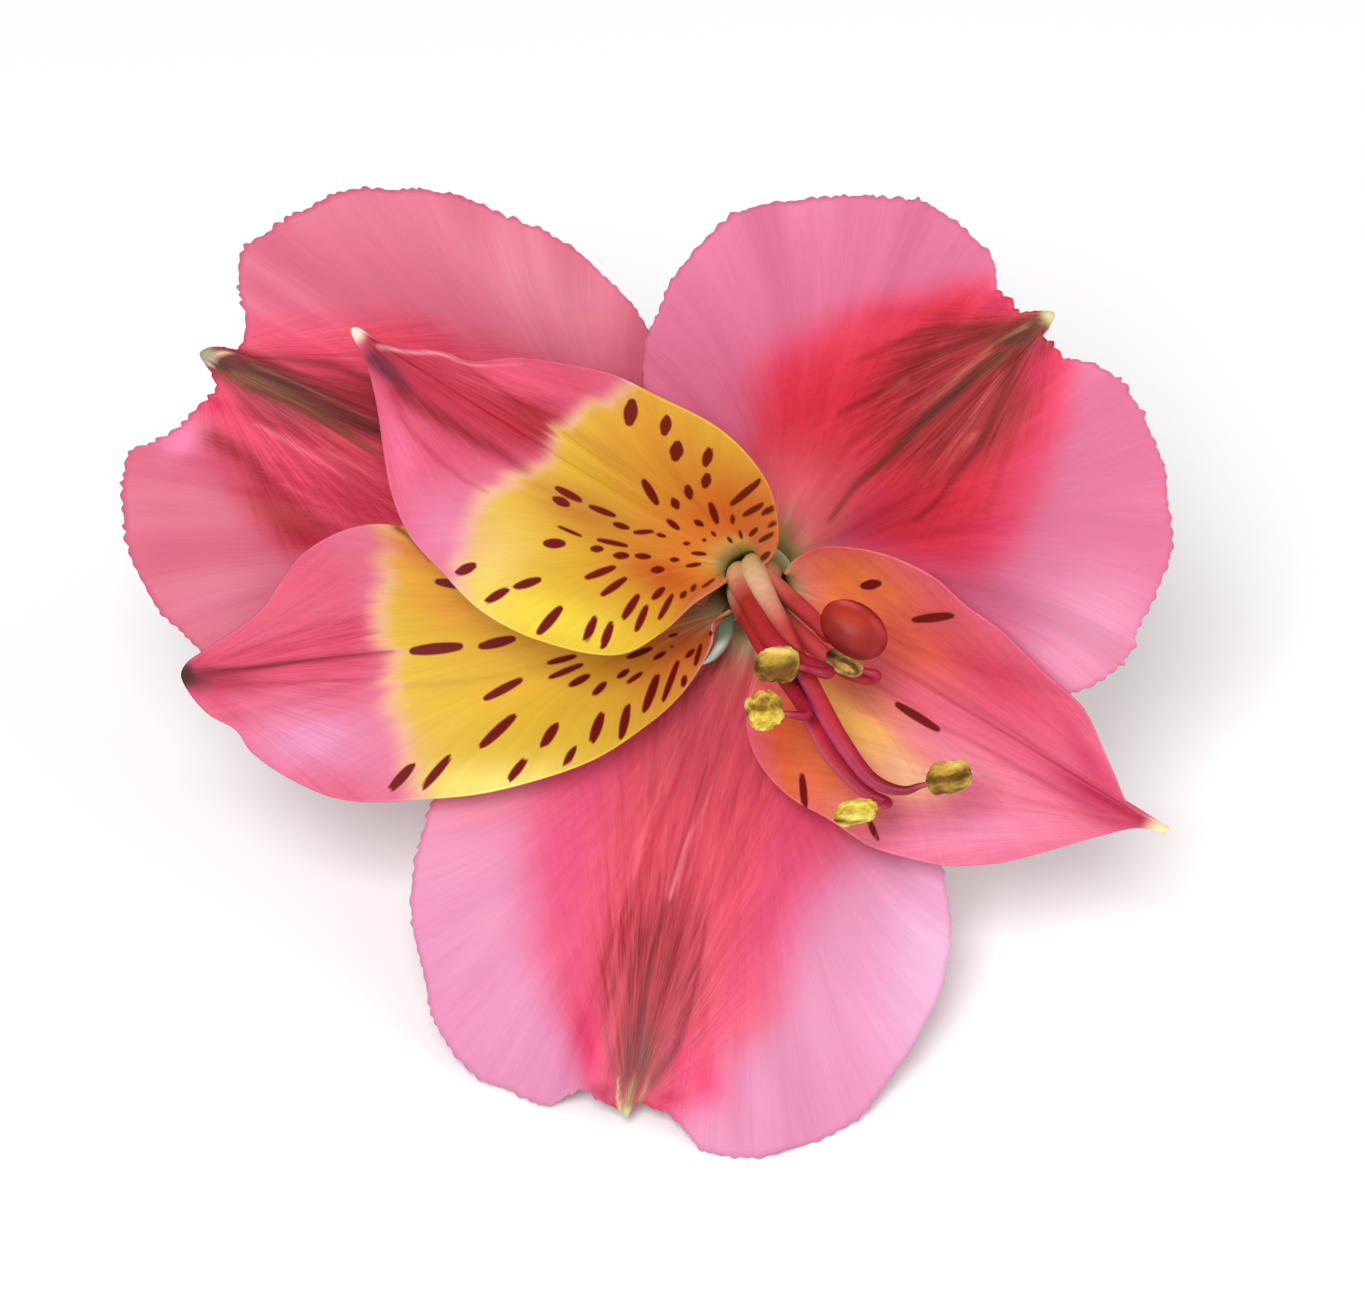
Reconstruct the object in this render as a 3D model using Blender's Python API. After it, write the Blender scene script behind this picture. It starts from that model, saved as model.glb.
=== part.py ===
"""A single alstroemeria bloom with its stalk, cut and laid down.

The bloom is described face on, in millimetres, in its own frame: +X to the viewer's right, +Y up and
+Z out of the face towards the viewer. Its parts are parented to one empty, which tips that face up to
FACE_TILT above the horizon and sets the bloom on the surface. The stalk is described in the world frame,
because it lies along the surface.

Six separate tepals in two whorls of three stand on the rim of the ovary, round six stamens and one style.
"""

import math

import bmesh
import bpy
import numpy as np
from mathutils import Vector

MM = 0.001

# Driving dimensions, in millimetres and degrees
FACE_TILT = 42.0
BLADE_THICKNESS = 0.7
CLEARANCE = 0.3
SEAT_GAP = 0.45
BACK_DROP = 0.5
OVARY_TOP = (1.6, -1.0, -31.0)
THROAT = (1.0, -1.5, -16.0)
OVARY_LENGTH = 8.0
OVARY_RIBS = 6
RIB_HEIGHT = 0.07
STALK_RADIUS = 1.35
STALK_REACH = 32.0
STALK_DRIFT = -7.5
STALK_LEAVES = 9.0
STALK_LANDS = 19.0
BUNDLE_RADIUS = 1.3
FILAMENT_RADIUS = 0.48
FILAMENT_TAPER = 0.6
STYLE_RADIUS = 0.36
STYLE_FOLLOWS = 4.0
FURROW_DEPTH = 0.28

# Radii in millimetres, each at its share of the length
OVARY_PROFILE = ((0, 3.9), (0.05, 4.05), (0.25, 3.75), (0.5, 3.3), (0.75, 2.5), (0.93, 1.75), (1, 1.5))
STALK_PROFILE = ((0, 1.5), (0.06, 1.35), (0.2, 1.15), (1, STALK_RADIUS))

# How finely the solids are cut
TEPAL_ROWS = 13
TUBE_SIDES = 6
OVARY_SIDES = 36
STALK_SIDES = 12
STALK_ROWS = 18
ANTHER_SIDES = 10
ANTHER_RINGS = (0.02, 0.14, 0.35, 0.6, 0.82, 0.95, 0.995)
STEPS_ALONG_BUNDLE = 4

# The surface that the flower lies on meets the lower lobes here, in the bloom's frame
LOWEST_RIM_POINT = (1.5, -43.5, 0.0)

# Where the bounding box of the whole part has its middle, so that the origin is below it
CENTRE_SHIFT = (6.95, -16.13)

# Each tepal: the place of its claw on the ring, as an angle seen face on; how steeply the blade arrives
# at its tip and at its sides, where a negative angle curls back; the share of its length over which each
# vein climbs straight up the throat; and the rim, listed from the tip round each side down to the claw.
TEPALS = {
    "outer_tepal_lower": {
        "whorl": "outer", "claw": 268, "tip_slope": 6, "side_slope": -22, "rise": 0.34,
        "tip": (-8.3, -41.0, -1.0),
        "counter": [
            (-7.4, -39.9, -1.2), (-5.0, -40.6, -1.0), (-2.4, -43.2, -0.3), (1.5, -43.5, 0.0),
            (6.8, -42.4, -1.1), (9.8, -40.0, -2.0), (12.7, -35.9, -3.0), (15.0, -32.2, -3.8),
            (15.9, -27.0, -4.8), (15.3, -22.6, -6.5), (13.0, -17.0, -9.5), (9.0, -11.5, -13.5),
            (5.5, -7.0, -19.0),
        ],
        "clockwise": [
            (-9.0, -39.6, -1.2), (-11.7, -39.1, -2.2), (-13.9, -40.0, -3.8), (-18.4, -38.5, -5.4),
            (-21.7, -35.6, -5.5), (-23.2, -31.5, -5.5), (-24.3, -26.3, -5.0), (-23.9, -21.9, -5.0),
            (-22.3, -17.4, -6.0), (-18.0, -12.5, -9.0), (-12.0, -8.5, -13.5), (-5.5, -6.0, -19.0),
        ],
    },
    "outer_tepal_right": {
        "whorl": "outer", "claw": 40, "tip_slope": 15, "side_slope": -5, "rise": 0.34,
        "tip": (22.7, 18.1, 8.0),
        "counter": [
            (21.4, 19.0, 7.5), (20.1, 19.4, 7.0), (18.9, 20.0, 6.5), (18.7, 21.9, 6.0),
            (16.4, 24.8, 4.5), (13.5, 26.7, 3.5), (9.8, 27.0, 2.5), (4.6, 26.8, 1.0),
            (0.1, 25.9, 0.0), (-3.6, 22.6, -0.5), (-6.4, 17.4, -1.5), (-6.7, 13.0, -3.5),
            (-5.0, 9.0, -7.0), (-2.0, 6.0, -11.0), (1.5, 3.8, -16.5),
        ],
        "clockwise": [
            (23.0, 16.3, 7.8), (24.2, 14.8, 7.5), (26.8, 14.1, 7.0), (29.0, 12.2, 6.0),
            (30.5, 9.3, 5.0), (31.6, 4.8, 3.5), (31.9, 1.9, 2.5), (30.9, -1.9, 1.5),
            (29.4, -4.8, 0.5), (29.0, -6.7, 0.0), (26.8, -8.5, -1.0), (24.2, -9.4, -2.0),
            (18.0, -9.0, -7.5), (12.5, -6.8, -13.0), (8.2, -4.2, -19.5),
        ],
    },
    "outer_tepal_left": {
        "whorl": "outer", "claw": 160, "tip_slope": 6, "side_slope": -15, "rise": 0.34,
        "tip": (-39.5, 15.8, -2.0),
        "counter": [
            (-38.7, 13.9, -2.3), (-38.7, 12.2, -2.5), (-41.3, 10.0, -3.0), (-45.0, 8.7, -3.5),
            (-45.9, 6.3, -4.0), (-45.6, 2.6, -4.5), (-44.3, -1.1, -5.0), (-42.4, -4.1, -5.5),
            (-40.2, -6.3, -6.0), (-34.0, -9.5, -7.5), (-26.0, -10.0, -9.5), (-18.0, -8.5, -12.0),
            (-10.0, -5.8, -16.5), (-4.8, -4.2, -22.0),
        ],
        "clockwise": [
            (-38.0, 16.0, -2.3), (-36.7, 16.3, -2.5), (-36.5, 18.9, -2.5), (-36.9, 21.1, -2.2),
            (-36.7, 23.0, -2.0), (-34.7, 24.8, -1.5), (-31.0, 27.0, -1.0), (-26.9, 27.9, -0.8),
            (-22.8, 27.6, -1.0), (-17.6, 26.1, -1.5), (-13.9, 24.4, -2.0), (-10.2, 21.9, -3.0),
            (-6.7, 17.4, -4.8), (-5.2, 13.0, -8.0), (-4.2, 9.0, -12.0), (-3.0, 5.0, -17.5),
        ],
    },
    "inner_tepal_upper": {
        "whorl": "inner", "claw": 117, "tip_slope": 12, "side_slope": 30, "rise": 0.42,
        "tip": (-28.4, 17.3, 5.0),
        "counter": [
            (-27.3, 14.8, 4.8), (-26.7, 12.2, 4.2), (-26.1, 8.5, 3.5), (-25.4, 4.8, 3.5),
            (-24.1, 1.9, 3.5), (-22.1, -0.4, 3.0), (-19.1, -3.3, 3.0), (-16.1, -5.0, 2.5),
            (-13.2, -5.9, 2.0), (-8.7, -6.5, 0.0), (-5.8, -5.6, -2.5), (-2.8, -3.0, -8.0),
            (-1.4, -0.9, -14.0),
        ],
        "clockwise": [
            (-26.7, 16.4, 4.8), (-24.3, 15.9, 4.3), (-22.1, 15.8, 4.0), (-19.9, 15.0, 4.0),
            (-16.1, 15.0, 4.0), (-10.2, 14.1, 4.0), (-6.5, 12.4, 3.5), (-1.3, 9.8, 2.0),
            (2.0, 6.3, -1.0), (3.0, 2.6, -5.5), (2.0, 1.2, -12.0),
        ],
    },
    "inner_tepal_left": {
        "whorl": "inner", "claw": 225, "tip_slope": 8, "side_slope": 25, "rise": 0.40,
        "tip": (-41.3, -8.1, -1.0),
        "counter": [
            (-40.9, -9.2, -1.2), (-39.5, -10.9, -1.5), (-37.3, -12.2, -1.5), (-36.1, -13.9, -1.5),
            (-32.4, -16.3, -1.5), (-29.1, -17.4, -1.5), (-22.1, -17.3, -2.0), (-14.7, -15.9, -2.5),
            (-8.7, -13.3, -4.0), (-4.3, -9.6, -7.5), (-1.9, -6.3, -12.0), (-0.6, -4.5, -17.0),
        ],
        "clockwise": [
            (-40.9, -7.3, -1.0), (-39.5, -6.3, -1.0), (-35.4, -3.3, -1.0), (-34.1, -1.5, -1.0),
            (-32.4, 0.7, -0.5), (-29.1, 2.6, 0.0), (-26.1, 3.1, -0.5), (-20.0, 1.5, -2.5),
            (-13.0, -0.5, -6.0), (-7.0, -1.9, -11.0), (-2.4, -3.0, -18.5),
        ],
    },
    "inner_tepal_lower": {
        "whorl": "inner", "claw": 338, "tip_slope": 14, "side_slope": 30, "rise": 0.40,
        "tip": (31.8, -19.7, 1.0),
        "counter": [
            (29.0, -18.0, 0.8), (27.6, -15.2, 0.6), (25.7, -11.1, 0.5), (23.9, -9.3, 0.5),
            (19.4, -4.8, 0.0), (15.7, -1.9, -1.0), (12.0, 0.4, -2.5), (8.3, 1.3, -5.0),
            (6.1, 1.3, -8.0), (4.2, 0.3, -12.0), (3.8, -0.6, -17.0),
        ],
        "clockwise": [
            (29.7, -19.4, 0.8), (26.8, -20.0, 0.3), (23.1, -21.1, -0.5), (18.3, -22.2, -1.0),
            (15.0, -22.3, -1.5), (10.5, -21.0, -2.0), (6.1, -18.5, -3.0), (2.7, -15.9, -4.5),
            (0.9, -13.0, -6.5), (0.7, -10.0, -9.5), (1.2, -7.0, -13.0), (2.0, -4.5, -17.5),
        ],
    },
}

# How the veins run over the blade: the share of its length over which each bends in to its place on the
# rim, how much it still leans towards the tip there, how wide the veins fan out before they bend in, and
# how far from the throat the rim still climbs along it
VEIN_REACH = 0.38
VEIN_LEAD = 0.27
VEIN_SPREAD = 0.9
THROAT_REACH = 13.0
EVENING_PASSES = 14

# The claws stand on a ring on top of the ovary and widen up to the ring at the mouth of the throat
CLAWS = {
    "outer": {"ring": 3.3, "width": 4.4, "mouth": 4.3, "spread": 5.6, "turn": 0.3},
    "inner": {"ring": 2.1, "width": 2.6, "mouth": 3.0, "spread": 3.2, "turn": 0.3},
}

# The line that the bundle of stamens follows, from the ovary out over the lower inner tepal
BUNDLE_LINE = [
    (1.6, -1.0, -31.0), (1.3, -1.3, -20.0), (1.6, -2.5, -10.0), (3.0, -5.3, -3.2), (5.0, -9.4, 1.2),
    (7.2, -13.5, 3.6), (9.5, -16.5, 4.8),
]

# Each stamen: its place round the bundle, in degrees from the upper right towards the viewer; how many
# points of the bundle's line it follows; the points that it takes from there to its anther; and the
# anther's middle, the way it points away from its filament, and its length, width and depth.
STAMENS = {
    1: {
        "place": 120, "follows": 2.5,
        "bend": [(2.6, -5.6, 0.6), (4.4, -7.0, 3.1), (6.6, -7.9, 4.6), (6.2, -8.0, 5.5)],
        "anther": (2.8, -7.4, 5.2), "points": (-1.0, 0.1, 0.0), "size": (3.3, 2.6, 2.2),
    },
    2: {
        "place": 180, "follows": 3.2,
        "bend": [(4.5, -10.0, 3.1), (5.0, -11.1, 4.7)],
        "anther": (1.8, -10.9, 5.3), "points": (-1.0, 0.05, 0.1), "size": (2.9, 2.8, 2.2),
    },
    3: {
        "place": 300, "follows": 2.0,
        "bend": [(5.0, -5.4, -4.2), (8.0, -7.8, -2.3), (9.9, -8.4, -1.0), (10.2, -8.1, 0.3)],
        "anther": (7.8, -7.3, 0.6), "points": (-1.0, 0.35, 0.1), "size": (2.8, 1.5, 1.7),
    },
    4: {
        "place": 0, "follows": 1.8,
        "bend": [(4.5, -2.9, -5.8), (5.9, -4.3, -1.6), (6.9, -5.4, 0.8)],
        "anther": (8.5, -4.6, 3.8), "points": (0.30, 0.42, 0.86), "size": (3.4, 5.6, 4.0),
    },
    5: {
        "place": 60, "follows": 5.0,
        "bend": [(9.9, -15.9, 5.8), (12.1, -16.6, 6.2)],
        "anther": (15.3, -15.8, 6.4), "points": (0.97, 0.22, 0.0), "size": (3.5, 2.5, 2.2),
    },
    6: {
        "place": 240, "follows": 5.0,
        "bend": [(9.6, -16.9, 3.9), (11.0, -17.5, 4.5)],
        "anther": (8.7, -18.3, 5.6), "points": (-0.95, -0.25, 0.15), "size": (3.3, 1.7, 2.0),
    },
}

COLOURS = {
    "outer_tepal": (0.86, 0.20, 0.38), "inner_tepal": (0.90, 0.45, 0.16), "filament": (0.72, 0.06, 0.16),
    "anther": (0.42, 0.30, 0.04), "bud_anther": (0.62, 0.08, 0.04), "stalk": (0.22, 0.36, 0.08),
}


def clear_scene():
    for item in list(bpy.data.objects):
        bpy.data.objects.remove(item)


def material(name, colour, roughness=0.55):
    made = bpy.data.materials.new(name)
    made.use_nodes = True
    shader = made.node_tree.nodes["Principled BSDF"]
    shader.inputs["Base Color"].default_value = (*colour, 1.0)
    shader.inputs["Roughness"].default_value = roughness
    shader.inputs["Metallic"].default_value = 0.0
    return made


def unit(vector):
    return vector / np.linalg.norm(vector)


# The throat's own axes: along it towards the viewer, and two across it
throat_axis = unit(np.subtract(THROAT, OVARY_TOP))
throat_right = unit(np.cross((0.0, 1.0, 0.0), throat_axis))
throat_up = np.cross(throat_axis, throat_right)


def on_ring(angle, radius):
    """A point on a ring round the top of the ovary, at an angle seen face on."""
    across = math.cos(math.radians(angle)) * throat_right + math.sin(math.radians(angle)) * throat_up
    return np.array(OVARY_TOP) + radius * across


def smooth_line(points, steps):
    """A centripetal Catmull-Rom curve through the points, with this many steps between each two."""
    points = np.array(points, float)
    run = np.vstack([2 * points[0] - points[1], points, 2 * points[-1] - points[-2]])
    line = []
    for before, start, end, after in zip(run, run[1:], run[2:], run[3:]):
        lead = np.linalg.norm(start - before) ** 0.5
        span = np.linalg.norm(end - start) ** 0.5
        tail = np.linalg.norm(after - end) ** 0.5
        leave = end - start + span * ((start - before) / lead - (end - before) / (lead + span))
        arrive = end - start + span * ((after - end) / tail - (after - start) / (span + tail))
        for step in range(steps):
            t = step / steps
            line.append(
                (2 * t**3 - 3 * t**2 + 1) * start + (t**3 - 2 * t**2 + t) * leave
                + (3 * t**2 - 2 * t**3) * end + (t**3 - t**2) * arrive
            )
    line.append(points[-1])
    return np.array(line)


def shares_of_claw(side):
    """Where the veins to one side of the rim stand across the claw, from 0 at its middle to 1 at its edge:
    nearer to evenly than in step with the length of the rim."""
    steps = np.linalg.norm(np.diff(side, axis=0), axis=1)
    by_length = np.concatenate([[0.0], np.cumsum(steps)]) / steps.sum()
    return (by_length + 2 * np.linspace(0, 1, len(side))) / 3


def evened(points, spots):
    """The points with their unevenness from one to the next taken out, and the first and last kept."""
    points = points.copy()
    before, after = np.diff(spots)[:-1, None], np.diff(spots)[1:, None]
    for _ in range(EVENING_PASSES):
        middle = (points[:-2] * after + points[2:] * before) / (before + after)
        points[1:-1] += 0.5 * (middle - points[1:-1])
    return points


def vein_arrival(spec, claw, offset, ahead, aside):
    """The direction in which a vein reaches the rim. Deep in the throat it still climbs along it."""
    forward, sideways = offset @ ahead, offset @ aside
    way = unit(ahead * forward * (VEIN_LEAD if forward > 0 else 1.0) + aside * sideways)
    share = min(1.0, 2 * abs(sideways) / (abs(forward) + abs(sideways)))
    slope = math.radians(spec["tip_slope"] * (1 - share) + spec["side_slope"] * share)
    arrival = np.array([*(way * math.cos(slope)), math.sin(slope)])
    deep = np.clip((THROAT_REACH - np.linalg.norm(offset)) / (THROAT_REACH - claw["mouth"]), 0, 1)
    return unit(arrival * (1 - deep) + throat_axis * deep)


def tepal_grid(spec):
    """Rows of points from the claw out to the rim. Each column is one vein: it climbs the throat in its
    place across the claw, spreads over the blade, and bends in again to its own place on the rim."""
    counter = np.array([spec["tip"], *spec["counter"]], float)
    clockwise = np.array([spec["tip"], *spec["clockwise"]], float)
    rim = np.vstack([counter[::-1], clockwise[1:]])
    across = np.concatenate([-shares_of_claw(counter)[::-1], shares_of_claw(clockwise)[1:]])
    claw = CLAWS[spec["whorl"]]
    ahead = unit((counter[1] + clockwise[1])[:2] / 2 - np.array(THROAT[:2]))
    aside = np.array([ahead[1], -ahead[0]])
    heading = math.degrees(math.atan2(ahead[1], ahead[0])) % 360
    turned = spec["claw"] + (heading - spec["claw"]) * claw["turn"]
    from_throat = rim[:, :2] - np.array(THROAT[:2])
    half_width = np.ptp(from_throat @ aside) / 2
    to_tip = np.linalg.norm(np.subtract(spec["tip"], THROAT)[:2])
    roots, climbs, turns = [], [], []
    for end, offset, side in zip(rim, from_throat, across):
        root_angle = spec["claw"] - math.degrees(side * claw["width"] / 2 / claw["ring"])
        roots.append(on_ring(root_angle, claw["ring"]))
        length = np.linalg.norm(end - roots[-1])
        climb = on_ring(turned - math.degrees(side * claw["spread"] / 2 / claw["mouth"]), claw["mouth"])
        climbs.append(climb + throat_axis * spec["rise"] * length)
        turn = end - vein_arrival(spec, claw, offset, ahead, aside) * VEIN_REACH * length
        place = (turn[:2] - np.array(THROAT[:2])) @ aside
        wanted = side * half_width * VEIN_SPREAD * max(0.0, offset @ ahead) / to_tip
        turn[:2] += aside * (np.sign(side) * (abs(place) ** 4 + abs(wanted) ** 4) ** 0.25 - place)
        turns.append(turn)
    spots = np.concatenate([[0.0], np.cumsum(np.linalg.norm(np.diff(rim, axis=0), axis=1))])
    root, end = np.array(roots), rim
    climb, turn = evened(np.array(climbs), spots), evened(np.array(turns), spots)
    t = np.linspace(0, 1, TEPAL_ROWS + 1)[:, None, None]
    return (1 - t) ** 3 * root + 3 * (1 - t) ** 2 * t * climb + 3 * (1 - t) * t**2 * turn + t**3 * end


def finish_object(name, mesh, paint, parent):
    mesh.materials.append(paint)
    made = bpy.data.objects.new(name, mesh)
    bpy.context.scene.collection.objects.link(made)
    made.parent = parent
    return made


def make_tepal(name, spec, paint, parent):
    """The face of the tepal as a sheet, split into triangles and then thickened away from the viewer."""
    grid = tepal_grid(spec) * MM
    form = bmesh.new()
    rows = [[form.verts.new(point) for point in row] for row in grid]
    for lower, upper in zip(rows, rows[1:]):
        for near, far, near_above, far_above in zip(lower, lower[1:], upper, upper[1:]):
            form.faces.new((near, far, far_above, near_above))
    mesh = bpy.data.meshes.new(name)
    form.to_mesh(mesh)
    form.free()
    mesh.shade_smooth()
    made = finish_object(name, mesh, paint, parent)
    made.modifiers.new("triangles", "TRIANGULATE")
    thickness = made.modifiers.new("thickness", "SOLIDIFY")
    thickness.thickness = BLADE_THICKNESS * MM
    thickness.offset = -1.0
    return made


def carried_frames(path, first_side):
    """Two directions across the path at each of its points, carried along it without twist."""
    sides, fronts = [], []
    side = np.array(first_side, float)
    ways = np.gradient(path, axis=0)
    for way in ways:
        way = unit(way)
        side = unit(side - way * (side @ way))
        sides.append(side)
        fronts.append(np.cross(way, side))
    return np.array(sides), np.array(fronts)


def loft(name, rings, paint, parent):
    """A closed solid through rings of points, with a flat cap at each end."""
    form = bmesh.new()
    loops = [[form.verts.new(point) for point in ring] for ring in np.array(rings) * MM]
    for lower, upper in zip(loops, loops[1:]):
        for index, corner in enumerate(lower):
            after = (index + 1) % len(lower)
            form.faces.new((corner, lower[after], upper[after], upper[index]))
    form.faces.new(loops[0][::-1])
    form.faces.new(loops[-1])
    bmesh.ops.recalc_face_normals(form, faces=form.faces[:])
    mesh = bpy.data.meshes.new(name)
    form.to_mesh(mesh)
    form.free()
    mesh.shade_smooth()
    mesh.set_sharp_from_angle(angle=math.radians(50))
    return finish_object(name, mesh, paint, parent)


def tube_rings(path, radii, sides, first_side=(1.0, 0.2, 0.0)):
    across, front = carried_frames(path, first_side)
    angles = np.linspace(0, 2 * math.pi, sides, endpoint=False)
    return [
        [centre + radius * (math.cos(a) * side + math.sin(a) * up) for a in angles]
        for centre, radius, side, up in zip(path, radii, across, front)
    ]


def bundle_frames():
    """The bundle's line and the directions across it: to the viewer's right, and towards the viewer."""
    line = smooth_line(BUNDLE_LINE, STEPS_ALONG_BUNDLE)
    outwards = unit(line[-1] - line[-2])
    right_side = np.cross((0.0, 0.0, 1.0), outwards)
    sides, fronts = carried_frames(line[::-1], right_side)
    return line, sides[::-1], -fronts[::-1]


def strand(place, radius, follows):
    """The part of a filament that runs in the bundle."""
    line, sides, fronts = bundle_frames()
    last = int(round(follows * STEPS_ALONG_BUNDLE))
    turn = math.radians(place)
    return [
        centre + radius * (math.cos(turn) * side + math.sin(turn) * front)
        for centre, side, front in zip(line[: last + 1 : 2], sides[::2], fronts[::2])
    ]


def make_filament(number, spec, paint, parent):
    length, _, _ = spec["size"]
    seat = np.array(spec["anther"]) - unit(np.array(spec["points"])) * (length / 2 + CLEARANCE)
    path = smooth_line([*strand(spec["place"], BUNDLE_RADIUS, spec["follows"]), *spec["bend"], seat], 2)
    swell = np.interp(np.linspace(0, 1, len(path)), (0, 0.8, 1), (1, 1, FILAMENT_TAPER))
    rings = tube_rings(path, FILAMENT_RADIUS * swell, TUBE_SIDES)
    return loft(f"filament_{number}", rings, paint, parent)


def make_anther(number, spec, paint, parent):
    """Two swollen lobes side by side with a furrow between them, facing the viewer."""
    length, width, depth = spec["size"]
    way = unit(np.array(spec["points"], float))
    side = unit(np.cross((0.0, 0.0, 1.0), way))
    front = np.cross(way, side)
    rings = []
    for share in ANTHER_RINGS:
        swell = math.sqrt(1 - (2 * share - 1) ** 2)
        centre = np.array(spec["anther"]) + way * (share - 0.5) * length
        ring = []
        for angle in np.linspace(0, 2 * math.pi, ANTHER_SIDES, endpoint=False):
            furrow = 1 - FURROW_DEPTH * max(0.0, math.sin(angle)) ** 8
            ring.append(
                centre + side * math.cos(angle) * width / 2 * swell
                + front * math.sin(angle) * depth / 2 * swell * furrow
            )
        rings.append(ring)
    return loft(f"anther_{number}", rings, paint, parent)


def make_style(paint, parent):
    path = smooth_line(strand(0, 0.0, STYLE_FOLLOWS), 1)
    swell = np.interp(np.linspace(0, 1, len(path)), (0, 0.9, 1), (1, 0.8, 1.1))
    return loft("style", tube_rings(path, STYLE_RADIUS * swell, TUBE_SIDES), paint, parent)


def make_ovary(paint, parent):
    """The ribbed ovary below the tepals, widest near its top, narrowing to the stalk."""
    top = np.array(OVARY_TOP) - throat_axis * SEAT_GAP
    rings = []
    for share, radius in OVARY_PROFILE:
        sunk = top - np.array(OVARY_TOP) - throat_axis * share * OVARY_LENGTH
        ring = []
        for angle in np.linspace(0, 360, OVARY_SIDES, endpoint=False):
            ribbed = radius * (1 + RIB_HEIGHT * math.cos(math.radians(angle * OVARY_RIBS)))
            ring.append(on_ring(angle, ribbed) + sunk)
        rings.append(ring)
    return loft("ovary", rings, paint, parent)


def in_world(point):
    """A point of the bloom's frame, in millimetres, after the bloom is tipped and set down."""
    tip = math.radians(90 - FACE_TILT)
    right, up, out = point
    lift = LOWEST_RIM_POINT[1] * math.sin(tip) + LOWEST_RIM_POINT[2] * math.cos(tip)
    return np.array([
        right + CENTRE_SHIFT[0], up * math.cos(tip) - out * math.sin(tip) + CENTRE_SHIFT[1],
        up * math.sin(tip) + out * math.cos(tip) - lift + BACK_DROP,
    ])


def make_stalk(paint):
    """The flower stalk leaves the ovary along its axis, bends down to the surface and lies on it."""
    start = in_world(np.array(OVARY_TOP) - throat_axis * (SEAT_GAP + OVARY_LENGTH + CLEARANCE))
    inwards = unit(in_world(np.array(OVARY_TOP) - throat_axis) - in_world(OVARY_TOP))
    end = np.array([start[0] + STALK_DRIFT, start[1] + STALK_REACH, STALK_RADIUS])
    lying = unit(np.array([STALK_DRIFT, STALK_REACH, 0.0]))
    near, far = start + inwards * STALK_LEAVES, end - lying * STALK_LANDS
    t = np.linspace(0, 1, STALK_ROWS + 1)[:, None]
    path = (1 - t) ** 3 * start + 3 * (1 - t) ** 2 * t * near + 3 * (1 - t) * t**2 * far + t**3 * end
    rings = np.array(tube_rings(path, np.interp(t[:, 0], *zip(*STALK_PROFILE)), STALK_SIDES))
    rings[:, :, 2] = np.maximum(rings[:, :, 2], 0.0)
    return loft("stalk", rings, paint, None)


def make_flower():
    clear_scene()
    paints = {name: material(name, colour) for name, colour in COLOURS.items()}
    bloom = bpy.data.objects.new("bloom", None)
    bpy.context.scene.collection.objects.link(bloom)
    bloom.rotation_euler = (math.radians(90 - FACE_TILT), 0.0, 0.0)
    bloom.location = Vector(in_world((0.0, 0.0, 0.0)) * MM)
    for name, spec in TEPALS.items():
        make_tepal(name, spec, paints[f"{spec['whorl']}_tepal"], bloom)
    for number, spec in STAMENS.items():
        make_filament(number, spec, paints["filament"], bloom)
        make_anther(number, spec, paints["bud_anther" if number == 4 else "anther"], bloom)
    make_style(paints["filament"], bloom)
    make_ovary(paints["stalk"], bloom)
    make_stalk(paints["stalk"])


make_flower()
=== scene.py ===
import math
import bpy
import numpy as np
from mathutils import Matrix, Vector, noise


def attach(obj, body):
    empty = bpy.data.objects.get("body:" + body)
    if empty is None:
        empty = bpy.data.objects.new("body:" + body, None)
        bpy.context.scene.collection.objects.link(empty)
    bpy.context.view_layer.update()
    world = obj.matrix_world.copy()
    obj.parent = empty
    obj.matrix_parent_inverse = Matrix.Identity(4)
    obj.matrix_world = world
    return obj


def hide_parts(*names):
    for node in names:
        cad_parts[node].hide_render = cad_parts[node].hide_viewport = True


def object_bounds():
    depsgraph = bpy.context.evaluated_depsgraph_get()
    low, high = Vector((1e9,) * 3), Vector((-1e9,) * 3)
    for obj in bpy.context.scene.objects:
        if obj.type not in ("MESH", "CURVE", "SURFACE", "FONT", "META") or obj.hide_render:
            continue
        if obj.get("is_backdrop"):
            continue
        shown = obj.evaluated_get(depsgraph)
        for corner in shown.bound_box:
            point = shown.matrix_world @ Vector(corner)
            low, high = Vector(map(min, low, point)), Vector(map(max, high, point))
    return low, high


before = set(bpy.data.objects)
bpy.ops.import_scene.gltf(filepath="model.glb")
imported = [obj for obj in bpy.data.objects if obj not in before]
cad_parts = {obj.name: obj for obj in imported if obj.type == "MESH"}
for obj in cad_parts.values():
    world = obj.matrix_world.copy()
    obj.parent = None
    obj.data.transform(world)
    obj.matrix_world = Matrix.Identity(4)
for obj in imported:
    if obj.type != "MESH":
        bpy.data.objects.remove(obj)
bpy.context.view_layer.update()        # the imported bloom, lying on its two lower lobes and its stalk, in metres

mm = 0.001

# The bloom is laid out face on, in millimetres: x to the right, y up and z out of the face. One turn
# and one shift carry it into the scene, where the face is tipped up at the camera.
face = {"tilt": 42.0, "centre": (6.95, -16.13), "lowest": (1.5, -43.5, 0.0), "drop": 0.5}
view = {"centre": (-4.11, -6.59), "distance": 560.0, "width": 101.1}
throat = {
    "floor": (1.6, -1.0, -31.0), "mouth": (1.0, -1.5, -16.0), "forward": 8.0, "reach": 28.0,
    "crest": 0.1055,
}
paintDepth = 0.84
curveSteps = 6


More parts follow.
